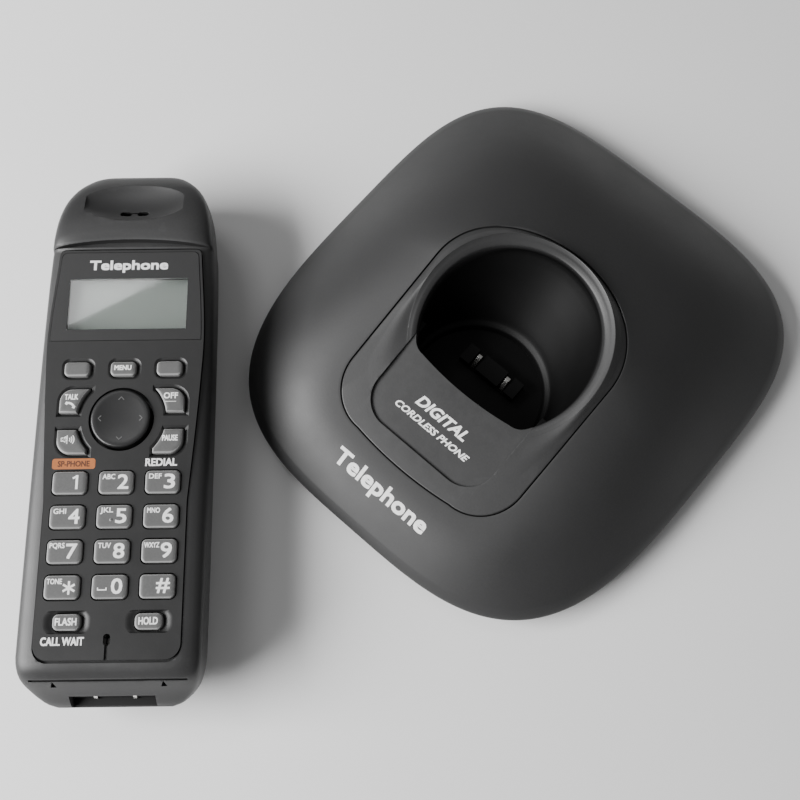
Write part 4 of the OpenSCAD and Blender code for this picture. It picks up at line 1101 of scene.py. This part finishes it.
def make_key(node, top):
    """Key cap with a rounded rim and a slight crown, and its flange below."""
    outline = lambda g: key_outlines(g)[node]
    rings = [flat_ring(outline(0.7), KEY_LOW), flat_ring(outline(0.7), KEY_LOW + FLANGE_T),
             flat_ring(outline(0), KEY_LOW + FLANGE_T)]
    rings += [flat_ring(outline(-g), top - 0.05 - down) for g, down in CAP_RIM]
    crown = outline(-1.1)
    rings += [flat_ring(outline(-0.85), top - 0.02), flat_ring(crown, top)]
    rings += [flat_ring(mix(crown, crown.mean(axis=0), t), top) for t in (0.12, 0.5)]
    piece = loft(node + "_cap", rings)
    return dress(soften(piece, 0, 50), node)


def make_keys():
    lower = {**dict.fromkeys(SOFT_KEYS, 0.1), "flash_key": 0.2, "hold_key": 0.2}
    return {node: make_key(node, KEY_TOP - lower.get(node, 0)) for node in key_outlines(0)}


def make_navigator():
    """Round key with a rounded rim and a shallow dish."""
    top = KEY_TOP + 0.3
    flange = [(NAV_R + 1.2, KEY_LOW), (NAV_R + 1.2, KEY_LOW + 0.4), (NAV_R, KEY_LOW + 0.4)]
    rim = [(NAV_R - g, top - down)
           for g, down in ((0, 0.6), (0.06, 0.35), (0.2, 0.15), (0.42, 0.03), (0.7, 0))]
    dish_r = NAV_R - 1.2
    dish = [(r, top - 0.45 * (1 - (r / dish_r) ** 2)) for r in np.linspace(dish_r, 0.4, 14)]
    piece = loft("navigator_disc", [flat_ring(arc(NAV, r, 0, 360, 120), z) for r, z in flange + rim + dish])
    return dress(soften(piece, 0, 40), "navigator_key")


# ---- prints and legends

DIGITS = [("1", ""), ("2", "ABC"), ("3", "DEF"), ("4", "GHI"), ("5", "JKL"), ("6", "MNO"),
          ("7", "PQRS"), ("8", "TUV"), ("9", "WXYZ"), ("*", "TONE"), ("0", ""), ("#", "")]


def make_dial_legends():
    for i, ((digit, extra), node) in enumerate(zip(DIGITS, DIALS)):
        x, y = dial_spot(i)
        on = keys[node]
        if digit == "*":
            arms = [np.array((math.cos(a), math.sin(a))) * 1.75 for a in np.radians((30, 90, 150))]
            shapes("legend_star", [ribbon([-arm, arm], 0.55) for arm in arms], (x + 2.0, y - 0.2), on)
        elif digit == "1":
            one = [ribbon([(0.35, -1.9), (0.35, 1.9)], 0.65), ribbon([(-0.75, 1.0), (0.4, 1.68)], 0.5)]
            shapes("legend_key_1", one, (x + 1.6, y + 0.1), on)
        else:
            height, width, dx = (3.8, 3.6, 1.6) if digit == "#" else (3.95, 2.95, 2.0)
            letters("legend_" + node, digit, height, width, (x + dx, y + 0.1), on, 0.1)
        if extra:
            letters("letters_" + node, extra, 1.4, 1.0 * len(extra) + (0.4 if len(extra) == 3 else 0),
                    (x - 1.85, y + 1.5), on, 0.045)
    x, y = dial_spot(10)
    space = [ribbon([(-1.2, 0), (1.2, 0)], 0.3), ribbon([(-1.1, 0), (-1.1, 0.6)], 0.3),
             ribbon([(1.1, 0), (1.1, 0.6)], 0.3)]
    shapes("legend_space", space, (x - 1.8, y - 0.6), keys["key_0"])
    x, y = dial_spot(4)
    spot = x - 0.6, y - 0.9
    low = surface_height(keys["key_5"], HAND @ Vector((*spot, 0))) / MM - 0.02
    dot = loft("key_5_dot", [flat_ring(arc(spot, 0.42 * math.cos(a), 0, 360, 16), low + 0.24 * math.sin(a))
                             for a in np.radians((0, 25, 50, 70, 84))])
    dress(soften(dot, 0, 60), on=keys["key_5"])


def make_function_legends():
    for text, node, width, height, x, y in (
            ("MENU", "menu_key", 4.7, 1.4, 0, SOFT_Y + 0.15),
            ("TALK", "talk_key", 3.7, 1.6, -13.5, 23.8),
            ("OFF", "off_key", 3.9, 1.7, 13.6, 23.9),
            ("PAUSE", "pause_key", 4.2, 1.6, 13.9, 12.0),
            ("FLASH", "flash_key", 5.6, 1.9, -LOW_KEY[0], LOW_KEY[1] + 0.1),
            ("HOLD", "hold_key", 5.0, 1.9, LOW_KEY[0], LOW_KEY[1] + 0.1)):
        letters("legend_" + node, text, height, width, (x, y), keys[node], 0.06)
    phone = [ribbon(arc((0, -1.6), 2.0, 55, 125, 14, True), 0.6),
             [(-1.55, 0.35), (-0.75, 0.2), (-0.85, -0.55), (-1.6, -0.45)],
             [(0.75, 0.2), (1.55, 0.35), (1.6, -0.45), (0.85, -0.55)]]
    c, s = math.cos(math.radians(-28)), math.sin(math.radians(-28))
    turned = [np.asarray(outline) @ ((c, s), (-s, c)) for outline in phone]
    shapes("icon_talk", turned, (-13.7, 21.5), keys["talk_key"], 0.95)
    speaker = [ribbon([(-1.7, 0.45), (-1.0, 0.45), (-0.1, 1.2), (-0.1, -1.2), (-1.0, -0.45), (-1.7, -0.45),
                       (-1.7, 0.45)], 0.25)]
    speaker += [ribbon(arc((-0.1, 0), r, -38, 38, 14, True), 0.26) for r in (0.75, 1.3, 1.85)]
    for k, part in enumerate(speaker):
        spot = (-13.7, 11.8) + (part.min(axis=0) + part.max(axis=0)) / 2
        shapes("icon_speaker_%d" % k, [part], spot, keys["speaker_key"])
    hook = [ribbon([(-1.5, 0), (1.5, 0)], 0.22)]
    shapes("icon_off", hook, (13.6, 22.2), keys["off_key"], material=PALE_INK)


def make_panel_prints():
    letters("print_redial", "REDIAL", 2.1, 8.5, (11.7, 5.5), panel, 0.08)
    letters("print_call_wait", "CALL WAIT", 2.1, 11.2, (-11.4, -41.3), panel, 0.08)
    tag = round_rect(0, 0, 11.6, 2.9, 0.7, 5)
    shapes("print_orange", [tag], (-11.8, 5.3), panel, material=ORANGE_INK)
    letters("print_orange_words", "SP-PHONE", 1.6, 8.6, (-11.8, 5.3), panel, 0.05, material=DARK_INK,
            thick=0.06)
    letters("print_name", "Telephone", 2.9, 22.2, (-0.3, 62.4), window_border, 0.14)


def make_nav_marks():
    """Raised arrows on the navigator key, in its own plastic."""
    x, y = NAV
    for k, (dx, dy) in enumerate(((0, 1), (1, 0), (0, -1), (-1, 0))):
        tip = np.array([(-0.75, -0.3), (0, 0.5), (0.75, -0.3)])
        turned = np.c_[tip[:, 0] * dy + tip[:, 1] * dx, tip[:, 1] * dy - tip[:, 0] * dx]
        shapes("nav_arrow_%d" % k, [ribbon(turned, 0.28)], (x + 5.6 * dx, y + 5.6 * dy), navigator,
               material=MATERIALS["key_marks"], thick=0.09)


def make_base_prints():
    letters("print_base_name", "Telephone", 4.6, 33, (-0.4, -59.6), dome, 0.2, BASE)
    letters("print_apron_1", "DIGITAL", 3.1, 17.5, (0, -33.4), cradle, 0.13, BASE, 0.3)
    letters("print_apron_2", "CORDLESS PHONE", 1.9, 26, (0, -37.8), cradle, 0.07, BASE, 0.3)


dome = make_top_cabinet()
cradle = make_cradle()
make_front_shell()
make_rear_shell()
make_cover()
panel = make_panel()
window_border = make_window()
keys = make_keys()
navigator = make_navigator()
for node in frame["nodes"]:
    if node not in done:
        refined(node)
make_dial_legends()
make_function_legends()
make_panel_prints()
make_nav_marks()
make_base_prints()

# ---- floor and light


FLOOR_HALF = 4    # metres


def make_floor():
    n = Nodes("floor_paper")
    n.link(n.blend(n.ramp(n.noise(3, 3), 0.3, 0.7), rgba(0.88, 0.88, 0.88), rgba(0.91, 0.91, 0.91)),
           "Base Color")
    n.set(Roughness=0.9, Specular_IOR_Level=0.1)
    corners = [(x * FLOOR_HALF, y * FLOOR_HALF, 0) for x, y in ((-1, -1), (1, -1), (1, 1), (-1, 1))]
    floor = new_object("floor", corners, [(0, 1, 2, 3)], Matrix.Identity(4))
    floor.data.materials.append(n.material)


def area_light(name, spot, aim, size, power):
    data = bpy.data.lights.new(name, "AREA")
    data.shape = "RECTANGLE"
    data.size, data.size_y = size
    data.energy = power
    return aimed(data, spot, aim)


WORLD_STRENGTH, KEY_POWER, CARD_POWER = 0.2, 18, 0.4
CARD_HEIGHT, CARD_DEPTH, CARD_LENGTH = 0.53, 0.12, 0.2
CARD_EDGE = [(-16.6, 44.4), (10, 58.7)]    # where the reflected edge crosses the display, in millimetres


def make_card():
    """Pale card over the display: its near edge is the diagonal line reflected in the window."""
    mirror = lambda spot, height: spot + (spot - CAMERA_SPOT) * (height - spot.z) / (CAMERA_SPOT.z - spot.z)
    ends = [mirror(HAND @ Vector((*p, PANE_TOP)), CARD_HEIGHT) for p in CARD_EDGE]
    along = (ends[1] - ends[0]).normalized()
    across = Vector((-along.y, along.x, 0))
    middle = (ends[0] + ends[1]) / 2 + across * CARD_DEPTH / 2
    middle.z = CARD_HEIGHT
    lamp = area_light("card", middle, middle - Vector((0, 0, 1)), (CARD_LENGTH, CARD_DEPTH), CARD_POWER)
    lamp.rotation_quaternion = Quaternion((0, 0, 1), math.atan2(along.y, along.x))


def make_light():
    world = bpy.data.worlds.new("studio")
    bpy.context.scene.world = world
    world.use_nodes = True
    background = world.node_tree.nodes["Background"]
    background.inputs["Color"].default_value = rgba(1, 1, 1)
    background.inputs["Strength"].default_value = WORLD_STRENGTH
    area_light("key_light", (-0.4, -0.58, 0.48), (0, 0, 0.02), (0.7, 0.4), KEY_POWER)
    make_card()


make_floor()
make_light()
